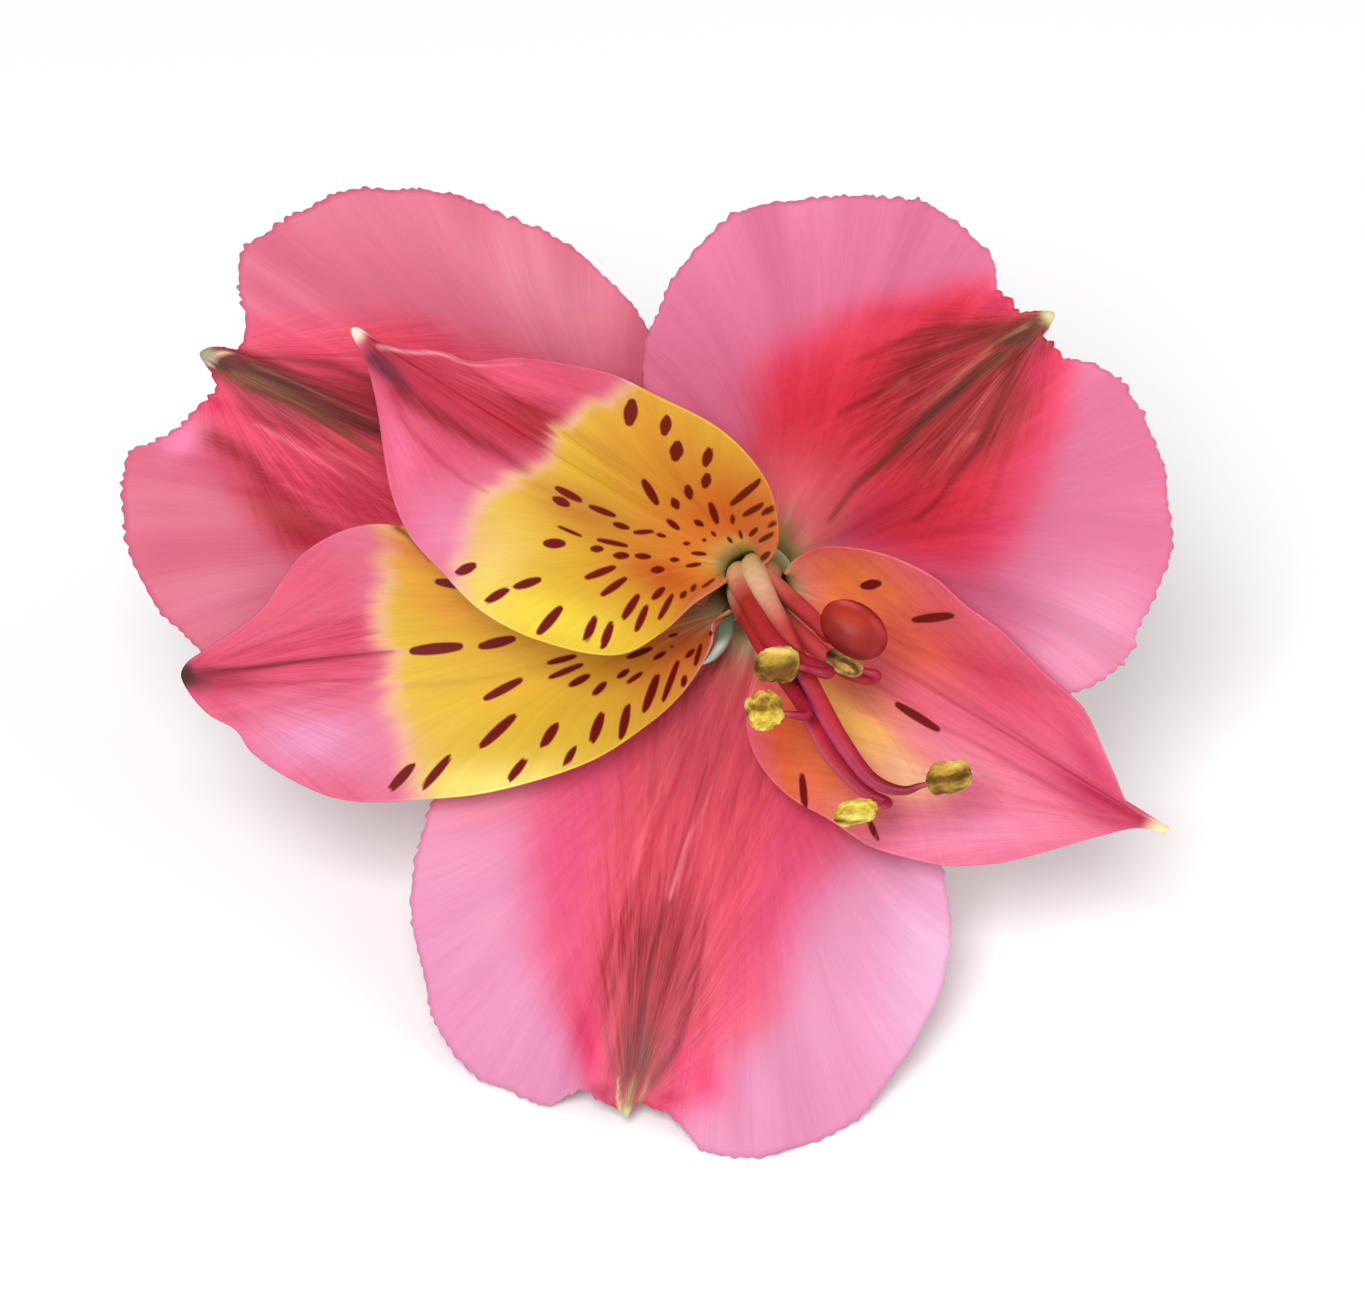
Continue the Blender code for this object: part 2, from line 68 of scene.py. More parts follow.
def intoScene(points):
    points = np.atleast_2d(np.array(points, float))
    tip = math.radians(90 - face["tilt"])
    cosine, sine = math.cos(tip), math.sin(tip)
    lift = face["lowest"][1] * sine + face["lowest"][2] * cosine
    across, up, out = points.T
    placed = [
        across + face["centre"][0],
        up * cosine - out * sine + face["centre"][1],
        up * sine + out * cosine - lift + face["drop"],
    ]
    return np.stack(placed, 1) * mm


# Where a point shows on the flat of the face, as the camera sees it
def asSeen(points):
    nearer = view["distance"] / (view["distance"] - points[:, 2])
    middle = np.array(view["centre"])
    return middle + (points[:, :2] - middle) * nearer[:, None]


def unit(vector):
    return vector / np.linalg.norm(vector)


def smoothStep(low, high, value):
    share = np.clip((value - low) / (high - low), 0, 1)
    return share * share * (3 - 2 * share)


def between(first, second, share):
    return first + (second - first) * np.asarray(share)[..., None]


# A colour as the lit bloom shows it on a screen, made linear and as deep as this bright light needs
def screenColour(red, green, blue):
    level = np.array([red, green, blue]) / 255
    return np.where(level <= 0.04045, level / 12.92, ((level + 0.055) / 1.055) ** 2.4) * paintDepth


# Soft random values over a plane, the same on each run
def softNoise(x, y, seed):
    table = np.random.RandomState(seed).rand(64, 64)
    column, row = np.floor(x).astype(int), np.floor(y).astype(int)
    fx, fy = smoothStep(0, 1, x - column), smoothStep(0, 1, y - row)
    low = table[row % 64, column % 64] * (1 - fx) + table[row % 64, (column + 1) % 64] * fx
    high = table[(row + 1) % 64, column % 64] * (1 - fx) + table[(row + 1) % 64, (column + 1) % 64] * fx
    return (low * (1 - fy) + high * fy) * 2 - 1


# Layers of soft noise: each has its share of the whole, its cells across and along, and its seed
noiseLayers = {
    "fray": [(0.6, 20, 2.5, 11), (0.4, 55, 5, 12)],
    "ragged": [(0.6, 130, 7, 13), (0.4, 320, 16, 14)],
    "speckle": [(0.55, 70, 24, 31), (0.45, 130, 60, 32)],
}


def layered(kind, across, along):
    return sum(share * softNoise(across * x, along * y, seed) for share, x, y, seed in noiseLayers[kind])


# The distance from a line's start to each of its points
def lengthAlong(line):
    return np.concatenate([[0.0], np.cumsum(np.linalg.norm(np.diff(line, axis=0), axis=1))])


# The share along a straight run that each point is nearest to, and the way from there to the point
def nearestOn(points, start, end):
    run = end - start
    place = np.clip((points - start) @ run / (run @ run), 0, 1)
    return place, points - start - place[:, None] * run


# A smooth curve through the points, with this many steps between each two
def smoothLine(points, steps):
    points = np.array(points, float)
    run = np.vstack([2 * points[0] - points[1], points, 2 * points[-1] - points[-2]])
    line = []
    for before, start, end, after in zip(run, run[1:], run[2:], run[3:]):
        lead = np.linalg.norm(start - before) ** 0.5
        span = np.linalg.norm(end - start) ** 0.5
        tail = np.linalg.norm(after - end) ** 0.5
        leave = end - start + span * ((start - before) / lead - (end - before) / (lead + span))
        arrive = end - start + span * ((after - end) / tail - (after - start) / (span + tail))
        for step in range(steps):
            t = step / steps
            line.append(
                (2 * t**3 - 3 * t**2 + 1) * start + (t**3 - 2 * t**2 + t) * leave
                + (3 * t**2 - 2 * t**3) * end + (t**3 - t**2) * arrive
            )
    line.append(points[-1])
    return np.array(line)


def meshPoints(mesh):
    flat = np.zeros(len(mesh.vertices) * 3)
    mesh.vertices.foreach_get("co", flat)
    return flat.reshape(-1, 3)


def paintPoints(mesh, colour):
    tint = np.ones((len(mesh.vertices), 4))
    tint[:, :3] = colour
    mesh.attributes.new("tint", "FLOAT_COLOR", "POINT").data.foreach_set("color", tint.ravel())


def selectOnly(piece):
    bpy.ops.object.select_all(action="DESELECT")
    piece.select_set(True)
    bpy.context.view_layer.objects.active = piece


# Turns the active piece's faces outwards and smooths them, after merging points that lie this close
def turnOutwards(merge=0.0):
    bpy.ops.object.mode_set(mode="EDIT")
    bpy.ops.mesh.select_all(action="SELECT")
    if merge:
        bpy.ops.mesh.remove_doubles(threshold=merge)
    bpy.ops.mesh.normals_make_consistent(inside=False)
    bpy.ops.object.mode_set(mode="OBJECT")
    bpy.ops.object.shade_smooth()


print("camera, light and floor")

centre = Vector(intoScene((*view["centre"], 0.0))[0])
lean = math.radians(face["tilt"])
outward = Vector((0, -math.cos(lean), math.sin(lean)))
upward = Vector((0, math.sin(lean), math.cos(lean)))
lens = bpy.data.cameras.new("camera")
lens.sensor_width = 36
lens.lens = 36 * view["distance"] / view["width"]
camera = bpy.data.objects.new("camera", lens)
camera.matrix_world = (
    Matrix.Translation(centre + outward * view["distance"] * mm)
    @ Matrix((Vector((1, 0, 0)), upward, outward)).transposed().to_4x4()
)
bpy.context.scene.collection.objects.link(camera)
bpy.context.scene.camera = camera

studio = {
    "sky": 0.52,
    "lamps": [
        # name, how far right of, above and in front of the bloom, size, power in watts
        ("keyLamp", (-0.10, 0.13, 0.80), 0.30, 5.0),
        ("fillLamp", (0.50, 0.15, 0.50), 0.6, 1.0),
    ],
}
sky = bpy.data.worlds.new("paleRoom")
sky.use_nodes = True
sky.node_tree.nodes["Background"].inputs["Color"].default_value = (1, 1, 1, 1)
sky.node_tree.nodes["Background"].inputs["Strength"].default_value = studio["sky"]
bpy.context.scene.world = sky
for name, (right, above, before), size, power in studio["lamps"]:
    place = centre + Vector((right, 0, 0)) + upward * above + outward * before
    bpy.ops.object.select_all(action="DESELECT")
    bpy.ops.object.light_add(type="AREA", location=place)
    lamp = bpy.context.object
    lamp.name = name
    lamp.data.size = size
    lamp.data.energy = power
    lamp.rotation_euler = (place - centre).to_track_quat("Z", "Y").to_euler()
bpy.context.scene.view_settings.view_transform = "Standard"


# Small helpers for node trees
def addNode(tree, kind, **values):
    node = tree.nodes.new(kind)
    for name, value in values.items():
        if hasattr(node, name):
            setattr(node, name, value)
    return node


def setInputs(node, values):
    for name, value in values.items():
        node.inputs[name].default_value = value
    return node


def newFinish(name, roughness, specular=0.4):
    finish = bpy.data.materials.new(name)
    finish.use_nodes = True
    tree = finish.node_tree
    shader = tree.nodes["Principled BSDF"]
    shader.inputs["Specular IOR Level"].default_value = specular
    shader.inputs["Roughness"].default_value = roughness
    return finish, tree, shader


def mixColours(tree, mode, factor, first, second):
    node = tree.nodes.new("ShaderNodeMix")
    node.data_type = "RGBA"
    node.blend_type = mode
    for socket, value in ((node.inputs[0], factor), (node.inputs[6], first), (node.inputs[7], second)):
        if isinstance(value, bpy.types.NodeSocket):
            tree.links.new(value, socket)
        else:
            socket.default_value = value
    return node.outputs[2]


def ramp(tree, source, stops):
    node = tree.nodes.new("ShaderNodeValToRGB")
    band = node.color_ramp
    while len(band.elements) < len(stops):
        band.elements.new(0.5)
    for element, (place, colour) in zip(band.elements, stops):
        element.position = place
        element.color = (*colour, 1)
    tree.links.new(source, node.inputs["Fac"])
    return node.outputs["Color"]


# A ramp's tones are halves, so that the doubled ones can lighten as well as darken
def doubled(tree, tones):
    return mixColours(tree, "ADD", 1.0, tones, tones)


# Noise over stretched coordinates, in the plane for a UV map
def addNoise(tree, source, scale, settings, seed=0.0, flat=True):
    stretch = setInputs(tree.nodes.new("ShaderNodeMapping"), {"Scale": scale, "Location": (seed, seed, 0)})
    tree.links.new(source, stretch.inputs["Vector"])
    pattern = addNode(tree, "ShaderNodeTexNoise", noise_dimensions="2D" if flat else "3D")
    setInputs(pattern, {"Scale": 1.0, **settings})
    tree.links.new(stretch.outputs["Vector"], pattern.inputs["Vector"])
    return pattern.outputs["Fac"]


def bumpFrom(tree, source, shader, strength, distance):
    bump = setInputs(tree.nodes.new("ShaderNodeBump"), {"Strength": strength, "Distance": distance})
    tree.links.new(source, bump.inputs["Height"])
    tree.links.new(bump.outputs["Normal"], shader.inputs["Normal"])


bpy.ops.object.select_all(action="DESELECT")
bpy.ops.mesh.primitive_plane_add(size=6)
floor = bpy.context.object
floor.name = "floor"
paper, tree, shader = newFinish("palePaper", 0.9, 0.1)
coordinates = tree.nodes.new("ShaderNodeTexCoord")
fleck = setInputs(tree.nodes.new("ShaderNodeTexNoise"), {"Scale": 4.0, "Detail": 2.0})
tree.links.new(coordinates.outputs["Object"], fleck.inputs["Vector"])
paperColour = ramp(tree, fleck.outputs["Fac"], [(0.3, (0.97, 0.97, 0.97)), (0.7, (0.99, 0.99, 0.99))])
tree.links.new(paperColour, shader.inputs["Base Color"])
floor.data.materials.append(paper)
floor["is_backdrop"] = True

print("petal finishes")

dashRed = (116, 2, 4)
midribGreen = (150, 160, 90)
# Half of how much lighter or darker a streak leaves the petal, from its light side to its dark one
streakTones = [(0.34, (0.58, 0.64, 0.60)), (0.48, (0.5, 0.5, 0.5)), (0.66, (0.33, 0.19, 0.22))]


# A petal's own colours, with painted light and shade in places, are painted on its points; the finish
# adds fibres that run with the veins, streaks that fan out from the tip, its dashes and a soft satin. One UV
# map runs across and along the veins, the other round the tip and away from it.
def petalFinish(name, fibres, length, contrast, spotEdge=None):
    finish, tree, shader = newFinish(name, 0.52, 0.32)
    setInputs(shader, {
        "Subsurface Weight": 0.2, "Subsurface Scale": 0.8 * mm, "Subsurface Radius": (1.0, 0.5, 0.5)})
    paint = addNode(tree, "ShaderNodeAttribute", attribute_name="tint")
    veins = tree.nodes.new("ShaderNodeUVMap")
    veins.uv_map = "veins"
    colour, heights = paint.outputs["Color"], []
    coarse, fine = (fibres, length, 1), (fibres * 3.1, length * 2.3, 1)
    for scale, detail, seed, depth in ((coarse, 3.0, 0.0, 0.5), (fine, 2.0, 7.3, 0.3)):
        settings = {"Detail": detail, "Roughness": 0.6, "Distortion": 0.15}
        heights.append(addNoise(tree, veins.outputs["UV"], scale, settings, seed))
        change = contrast * depth
        tones = ramp(tree, heights[-1], [(0.32, (0.5 - change,) * 3), (0.68, (0.5 + change,) * 3)])
        colour = mixColours(tree, "MULTIPLY", 1.0, colour, doubled(tree, tones))
    fan = tree.nodes.new("ShaderNodeUVMap")
    fan.uv_map = "fan"
    darkness = addNode(tree, "ShaderNodeAttribute", attribute_name="streak")
    for scale, seed in (((75.0, 5.0, 1), 1.7), ((210.0, 16.0, 1), 4.1)):
        settings = {"Detail": 3.0, "Roughness": 0.62, "Distortion": 0.4}
        streaks = addNoise(tree, fan.outputs["UV"], scale, settings, seed)
        tones = doubled(tree, ramp(tree, streaks, streakTones))
        colour = mixColours(tree, "MULTIPLY", darkness.outputs["Fac"], colour, tones)
    if spotEdge:
        spots = addNode(tree, "ShaderNodeAttribute", attribute_name="spot")
        reach = setInputs(
            tree.nodes.new("ShaderNodeMapRange"), {"From Min": -spotEdge, "From Max": spotEdge})
        tree.links.new(spots.outputs["Fac"], reach.inputs["Value"])
        colour = mixColours(tree, "MIX", reach.outputs["Result"], colour, (*screenColour(*dashRed), 1))
    tree.links.new(colour, shader.inputs["Base Color"])
    bumpFrom(tree, heights[0], shader, 0.25, 0.12 * mm)
    return finish


outerFinish = petalFinish("outerTepalSkin", 190.0, 3.0, 0.03)
spottedFinish = petalFinish("spottedTepalSkin", 120.0, 3.5, 0.03, spotEdge=0.06)

# How the veins run from the claw over the blade to the rim
veins = {"reach": 0.38, "lead": 0.27, "spread": 0.9, "throatReach": 13.0, "evening": 14, "easing": 0.35}
claws = {
    "outer": {"ring": 3.1, "width": 4.6, "mouth": 3.5, "spread": 5.4, "turn": 0.3},
    "inner": {"ring": 2.1, "width": 3.2, "mouth": 2.4, "spread": 3.8, "turn": 0.3},
}
throatAxis = unit(np.subtract(throat["mouth"], throat["floor"]))
throatRight = unit(np.cross((0.0, 1.0, 0.0), throatAxis))
throatUp = np.cross(throatAxis, throatRight)


def onRing(angle, radius):
    turn = math.radians(angle)
    return np.array(throat["floor"]) + radius * (math.cos(turn) * throatRight + math.sin(turn) * throatUp)


def clawShares(side):
    byLength = lengthAlong(side)
    byLength = byLength / byLength[-1]
    return (byLength + 2 * np.linspace(0, 1, len(side))) / 3


def evened(points, spots):
    points = np.array(points)
    before, after = np.diff(spots)[:-1, None], np.diff(spots)[1:, None]
    for _ in range(veins["evening"]):
        middle = (points[:-2] * after + points[2:] * before) / (before + after)
        points[1:-1] += 0.5 * (middle - points[1:-1])
    return points


def veinArrival(tepal, claw, offset, ahead, aside):
    forward, sideways = offset @ ahead, offset @ aside
    way = unit(ahead * forward * (veins["lead"] if forward > 0 else 1.0) + aside * sideways)
    share = min(1.0, 2 * abs(sideways) / (abs(forward) + abs(sideways)))
    slope = math.radians(tepal["tipSlope"] * (1 - share) + tepal["sideSlope"] * share)
    arrival = np.array([*(way * math.cos(slope)), math.sin(slope)])
    reach = veins["throatReach"]
    deep = np.clip((reach - np.linalg.norm(offset)) / (reach - claw["mouth"]), 0, 1)
    return unit(arrival * (1 - deep) + throatAxis * deep)


# The blade as rows of points from the claw to the rim, with each vein's share across the claw
def bladeRows(tepal, finer, rows):
    counter = np.array([tepal["tip"], *tepal["counter"]], float)
    clockwise = np.array([tepal["tip"], *tepal["clockwise"]], float)
    rim = np.vstack([counter[::-1], clockwise[1:]])
    across = np.concatenate([-clawShares(counter)[::-1], clawShares(clockwise)[1:]])
    claw = claws[tepal["whorl"]]
    mouth = np.array(throat["mouth"][:2])
    ahead = unit((counter[1] + clockwise[1])[:2] / 2 - mouth)
    aside = np.array([ahead[1], -ahead[0]])
    heading = math.degrees(math.atan2(ahead[1], ahead[0])) % 360
    turned = tepal["claw"] + (heading - tepal["claw"]) * claw["turn"]
    fromThroat = rim[:, :2] - mouth
    halfWidth = np.ptp(fromThroat @ aside) / 2
    toTip = np.linalg.norm(np.subtract(tepal["tip"], throat["mouth"])[:2])
    roots, climbs, turns = [], [], []
    for end, offset, side in zip(rim, fromThroat, across):
        fromMiddle = math.degrees(side * claw["width"] / 2 / claw["ring"])
        roots.append(onRing(tepal["claw"] - fromMiddle, claw["ring"]))
        length = np.linalg.norm(end - roots[-1])
        climb = onRing(turned - math.degrees(side * claw["spread"] / 2 / claw["mouth"]), claw["mouth"])
        climbs.append(climb + throatAxis * tepal["rise"] * length)
        turn = end - veinArrival(tepal, claw, offset, ahead, aside) * veins["reach"] * length
        place = (turn[:2] - mouth) @ aside
        wanted = side * halfWidth * veins["spread"] * max(0.0, offset @ ahead) / toTip
        turn[:2] += aside * (np.sign(side) * (abs(place) ** 4 + abs(wanted) ** 4) ** 0.25 - place)
        turns.append(turn)
    spots = lengthAlong(rim)
    lines = [np.array(roots), evened(climbs, spots), evened(turns, spots), rim]
    root, climb, turn, end = [smoothLine(line, finer) for line in lines]
    t = np.linspace(0, 1, rows + 1)[:, None, None]
    t = t * (1 + veins["easing"] * (1 - t))
    grid = (1 - t) ** 3 * root + 3 * (1 - t) ** 2 * t * climb + 3 * (1 - t) * t**2 * turn + t**3 * end
    fineShares = np.interp(np.arange(len(end)) / finer, np.arange(len(across)), across)
    return grid, fineShares


def gridNormals(grid):
    alongRows = np.gradient(grid, axis=0)
    acrossRows = np.gradient(grid, axis=1)
    normals = np.cross(acrossRows, alongRows)
    return normals / np.maximum(np.linalg.norm(normals, axis=2, keepdims=True), 1e-9)


# The funnel narrows early: what lies deep in it is drawn towards the face, most of all a quarter of
# the way up
def drawnForward(points):
    share = np.clip((points[..., 2] - throat["floor"][2]) / throat["reach"], 0, 1)
    moved = np.array(points, float)
    moved[..., 2] += throat["forward"] * share * (1 - share) ** 3 / throat["crest"]
    return moved


# How far each rim point is clear of the throat and of the tip, where the rim stays as it is drawn
def rimFreedom(rim, tepal, mouthReach, tipReach):
    fromMouth = np.linalg.norm(rim[:, :2] - np.array(throat["mouth"][:2]), axis=1)
    toTip = np.linalg.norm(rim - np.array(tepal["tip"]), axis=1)
    return smoothStep(*mouthReach, fromMouth) * smoothStep(*tipReach, toTip)


# Small uneven teeth and a slow wave along the rim, away from the throat and the tip
def rimTeeth(grid, tepal):
    teeth = tepal["teeth"]
    rim = grid[-1]
    arc = lengthAlong(rim)
    dice = np.random.RandomState(teeth["seed"])
    starts = np.cumsum(dice.uniform(*teeth["pitch"], size=int(arc[-1] / teeth["pitch"][0]) + 2))
    heights = dice.uniform(0.15, 1.0, size=len(starts)) * teeth["height"]
    number = np.searchsorted(starts, arc)
    left = np.where(number > 0, starts[np.maximum(number - 1, 0)], 0.0)
    phase = (arc - left) / np.maximum(starts[number] - left, 1e-6)
    bite = heights[number] * (1 - np.abs(2 * phase - 1)) ** 0.7
    wave = 0.22 * softNoise(arc / 3.1, arc * 0, teeth["seed"] + 5)
    freedom = rimFreedom(rim, tepal, (10, 17), (1.0, 2.5))
    way = grid[-1] - grid[-3]
    way = way / np.maximum(np.linalg.norm(way, axis=1, keepdims=True), 1e-9)
    for row, biteShare, waveShare in ((-1, 1.0, 1.0), (-2, 0.35, 0.9), (-3, 0.0, 0.6)):
        grid[row] += way * ((biteShare * bite + waveShare * wave) * freedom)[:, None]
    return grid


# Shallow grooves along the veins, a keel along the middle and a gentle wave towards the rim
def relief(grid, shares, tepal):
    form = tepal["relief"]
    rowShare = np.linspace(0, 1, grid.shape[0])[:, None]
    side = shares[None, :]
    arc = lengthAlong(grid[-1])[None, :]
    blade = smoothStep(0.25, 0.5, rowShare)
    grooves = form["groove"] * np.cos(side * math.pi * form["grooves"]) * blade * (1 - rowShare**6)
    keel = -form["keel"] * np.exp(-((side / 0.09) ** 2)) * blade
    freedom = rimFreedom(grid[-1], tepal, (8, 16), (1.0, 5.0))[None, :]
    pitch, seed = form["pitch"], form["seed"]
    ruffle = form["ruffle"] * softNoise(arc / pitch + 0 * rowShare, rowShare * 2.2 + 0 * arc, seed)
    ruffle = ruffle * smoothStep(0.45, 1.0, rowShare) ** 1.5 * freedom
    return grid + gridNormals(grid) * (grooves + keel + ruffle)[..., None]


def tipSeen(tepal):
    return asSeen(np.array([tepal["tip"]], float))[0]


# Along the tepal from the throat to its tip, as a share, and to its clockwise side, in millimetres
def alongAndAside(tepal, seen):
    start = np.array(throat["mouth"][:2])
    reach = np.linalg.norm(tipSeen(tepal) - start)
    ahead = (tipSeen(tepal) - start) / reach
    offset = seen - start
    return offset @ ahead / reach, offset @ np.array([ahead[1], -ahead[0]])


farOutside = -9.0


# How deep each point lies inside the nearest of these strokes, in millimetres
def strokeDepth(seen, strokes):
    depth = np.full(len(seen), farOutside)
    for x0, y0, x1, y1, width in strokes:
        start, end = np.array([x0, y0]), np.array([x1, y1])
        length = np.linalg.norm(end - start)
        trim = min(width / 2, length * 0.45) / length
        start, end = start + (end - start) * trim, end - (end - start) * trim
        place, offset = nearestOn(seen, start, end)
        gap = np.linalg.norm(offset, axis=1)
        taper = 1 - 0.35 * np.abs(2 * place - 1) ** 2
        depth = np.maximum(depth, width * 0.66 * taper - gap)
    return depth


# The share of a long line's tone at each point, for the veins and the painted fold shadow: a soft band
# along a smooth line, thinner at its end
def veinShade(seen, points, width):
    line = smoothLine([(*point, 0.0) for point in points], curveSteps)[:, :2]
    shade = np.zeros(len(seen))
    for number, (start, end) in enumerate(zip(line, line[1:])):
        place, offset = nearestOn(seen, start, end)
        gap = np.linalg.norm(offset, axis=1)
        share = (number + place) / (len(line) - 1)
        reach = width * (1 - 0.6 * share)
        shade = np.maximum(shade, np.exp(-((gap / reach) ** 2)) * (1 - 0.55 * share**2))
    return shade


# Soft patches of colour: each has its middle, its length, width and turn, its colour and its strength
def washed(colour, seen, washes, fray):
    for x, y, length, width, turn, tone, strength in washes:
        angle = math.radians(turn)
        ahead = np.array([math.cos(angle), math.sin(angle)])
        offset = seen - np.array([x, y])
        first, second = offset @ ahead / length, offset @ np.array([-ahead[1], ahead[0]]) / width
        share = np.exp(-(first**2 + second**2)) * (1 + 0.25 * fray)
        colour = between(colour, screenColour(*tone), np.clip(share * strength, 0, 1))
    return colour


# Round the tip, as a share of a half turn, and away from it, as a share of 60 mm
def tipFan(tepal, seen):
    back = unit(np.array(throat["mouth"][:2]) - tipSeen(tepal))
    offset = seen - tipSeen(tepal)
    turned = np.arctan2(offset @ np.array([back[1], -back[0]]), offset @ back)
    return np.stack([turned / math.pi + 0.5, np.linalg.norm(offset, axis=1) / 60], 1)


# The colour of each point of a blade, and how strongly it is streaked
def tepalPaint(tepal, points, shares):
    seen = asSeen(points)
    along, aside = alongAndAside(tepal, seen)
    fray = layered("fray", shares, along)
    colour = np.tile(screenColour(*tepal["base"]), (len(points), 1))
    hot = np.zeros(len(points))
    streak = np.full(len(points), tepal.get("streaks", 0.0))
    for zone in tepal["zones"]:
        soft = zone.get("soft", 1.0)
        stations = np.array(zone["stations"], float)
        left = np.interp(along, stations[:, 0], stations[:, 1])
        right = np.interp(along, stations[:, 0], stations[:, 2])
        limit = np.where(aside < 0, left, right)
        inside = smoothStep(-soft, soft, limit - np.abs(aside) + fray * zone.get("fray", 0.5))
        softAlong = zone.get("softAlong", 0.05)
        uneven = fray * zone.get("frayAlong", 0.03)
        for border, side in (("begins", 1), ("ends", -1)):
            if border in zone:
                past = side * (along - np.interp(aside, *np.array(zone[border], float).T))
                inside = inside * smoothStep(-softAlong, softAlong, past + uneven)
        tone = np.tile(screenColour(*zone["colour"]), (len(points), 1))
        tone = washed(tone, seen, zone.get("washes", []), fray)
        inside = inside * zone.get("strength", 1.0)
        hot = np.maximum(hot, inside * zone.get("mottle", 0.0))
        streak = streak + (zone.get("streaks", 0.0) - streak) * inside
        colour = colour + (tone - colour) * inside[:, None]
    colour = washed(colour, seen, tepal["washes"], fray)
    fan = tipFan(tepal, seen)
    ragged = layered("ragged", fan[:, 0], fan[:, 1])
    for tone, width, strength, veinPoints in tepal["veinsAndFoldShade"]:
        shade = veinShade(seen, veinPoints, width * 0.8) * (1 + 0.5 * ragged)
        colour = between(colour, screenColour(*tone), np.clip(shade * strength, 0, 1))
    speckle = layered("speckle", shares, along)
    colour = colour * (1 + (0.02 + hot)[:, None] * speckle[:, None] * np.array([0.6, 1.6, 1.3]))
    nib = tepal["nib"]
    toTip = np.linalg.norm(seen - tipSeen(tepal), axis=1)
    atTip = smoothStep(nib["reach"], nib["reach"] * 0.4, toTip)
    colour = between(colour, screenColour(*nib["colour"]), atTip)
    # Deep in the throat the blade takes its pale claw colour, made as bright as paint allows: partly the claw's
    # own cream and partly a painted light where the throat lies in shade
    claw = tepal["clawPaintAndLight"]
    deep = smoothStep(claw["from"], claw["to"], points[:, 2] + 1.2 * fray)
    nearTip = smoothStep(nib["reach"] * 1.3, nib["reach"] * 0.7, toTip)
    return between(colour, screenColour(*claw["colour"]), deep), streak * (1 - deep) * (1 - nearTip)


# How thick the wall is from the claw to the rim: the shares of the way, and the shares of the thickness
wallShares = ((0, 0.35, 0.6, 0.93, 1.0), (1.0, 1.0, 0.75, 0.55, 0.3))


def makeTepal(name, tepal):
    grid, shares = bladeRows(tepal, tepal["finer"], tepal["rows"])
    grid = drawnForward(relief(grid, shares, tepal))
    if "teeth" in tepal:
        grid = rimTeeth(grid, tepal)
    rows, columns = grid.shape[0] - 1, grid.shape[1] - 1
    bpy.ops.object.select_all(action="DESELECT")
    bpy.ops.mesh.primitive_grid_add(x_subdivisions=columns, y_subdivisions=rows, size=2)
    piece = bpy.context.object
    piece.name = piece.data.name = name
    mesh = piece.data
    flat = meshPoints(mesh)
    column = np.rint((flat[:, 0] + 1) / 2 * columns).astype(int)
    row = np.rint((flat[:, 1] + 1) / 2 * rows).astype(int)
    points = grid[row, column]
    mesh.vertices.foreach_set("co", intoScene(points).ravel())
    corners = np.zeros(len(mesh.loops), int)
    mesh.loops.foreach_get("vertex_index", corners)
    flatMap = np.stack([(shares[column] + 1) / 2, row / rows], 1)[corners]
    mesh.uv_layers[0].name = "veins"
    mesh.uv_layers[0].uv.foreach_set("vector", flatMap.ravel())
    fanMap = tipFan(tepal, asSeen(points))[corners]
    mesh.uv_layers.new(name="fan").uv.foreach_set("vector", fanMap.ravel())
    mesh.update()
    blade = piece.vertex_groups.new(name="blade")
    weights = np.interp(np.arange(rows + 1) / rows, *wallShares)
    for number in range(rows + 1):
        blade.add(np.flatnonzero(row == number).tolist(), float(weights[number]), "REPLACE")
    wall = piece.modifiers.new("wall", "SOLIDIFY")
    wall.thickness = tepal["thickness"] * mm
    wall.offset = -1.0
    wall.vertex_group = "blade"
    bpy.ops.object.modifier_apply(modifier="wall")
    bpy.ops.object.shade_smooth()
    front, streak = tepalPaint(tepal, points, shares[column])
    back = between(front, screenColour(*tepal["backTone"]), np.full(len(front), tepal["backShare"]))
    midrib = np.exp(-((shares[column] / 0.05) ** 2)) * smoothStep(1.0, 0.5, row / rows)
    back = between(back, screenColour(*midribGreen), midrib * 0.6)
    paintPoints(mesh, np.vstack([front, back]))
    streaked = np.concatenate([streak, streak * 0.5])
    mesh.attributes.new("streak", "FLOAT", "POINT").data.foreach_set("value", streaked)
    if "dashes" in tepal:
        spot = strokeDepth(asSeen(points), tepal["dashes"])
        spot = np.where(row / rows > 0.12, spot, farOutside)
        spotted = np.concatenate([spot, spot - 0.12])
        mesh.attributes.new("spot", "FLOAT", "POINT").data.foreach_set("value", spotted)
    mesh.materials.clear()
    mesh.materials.append(spottedFinish if "dashes" in tepal else outerFinish)
    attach(piece, "root")
    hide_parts(name)
    print("made", name, len(mesh.polygons), "faces")


print("outer tepals")

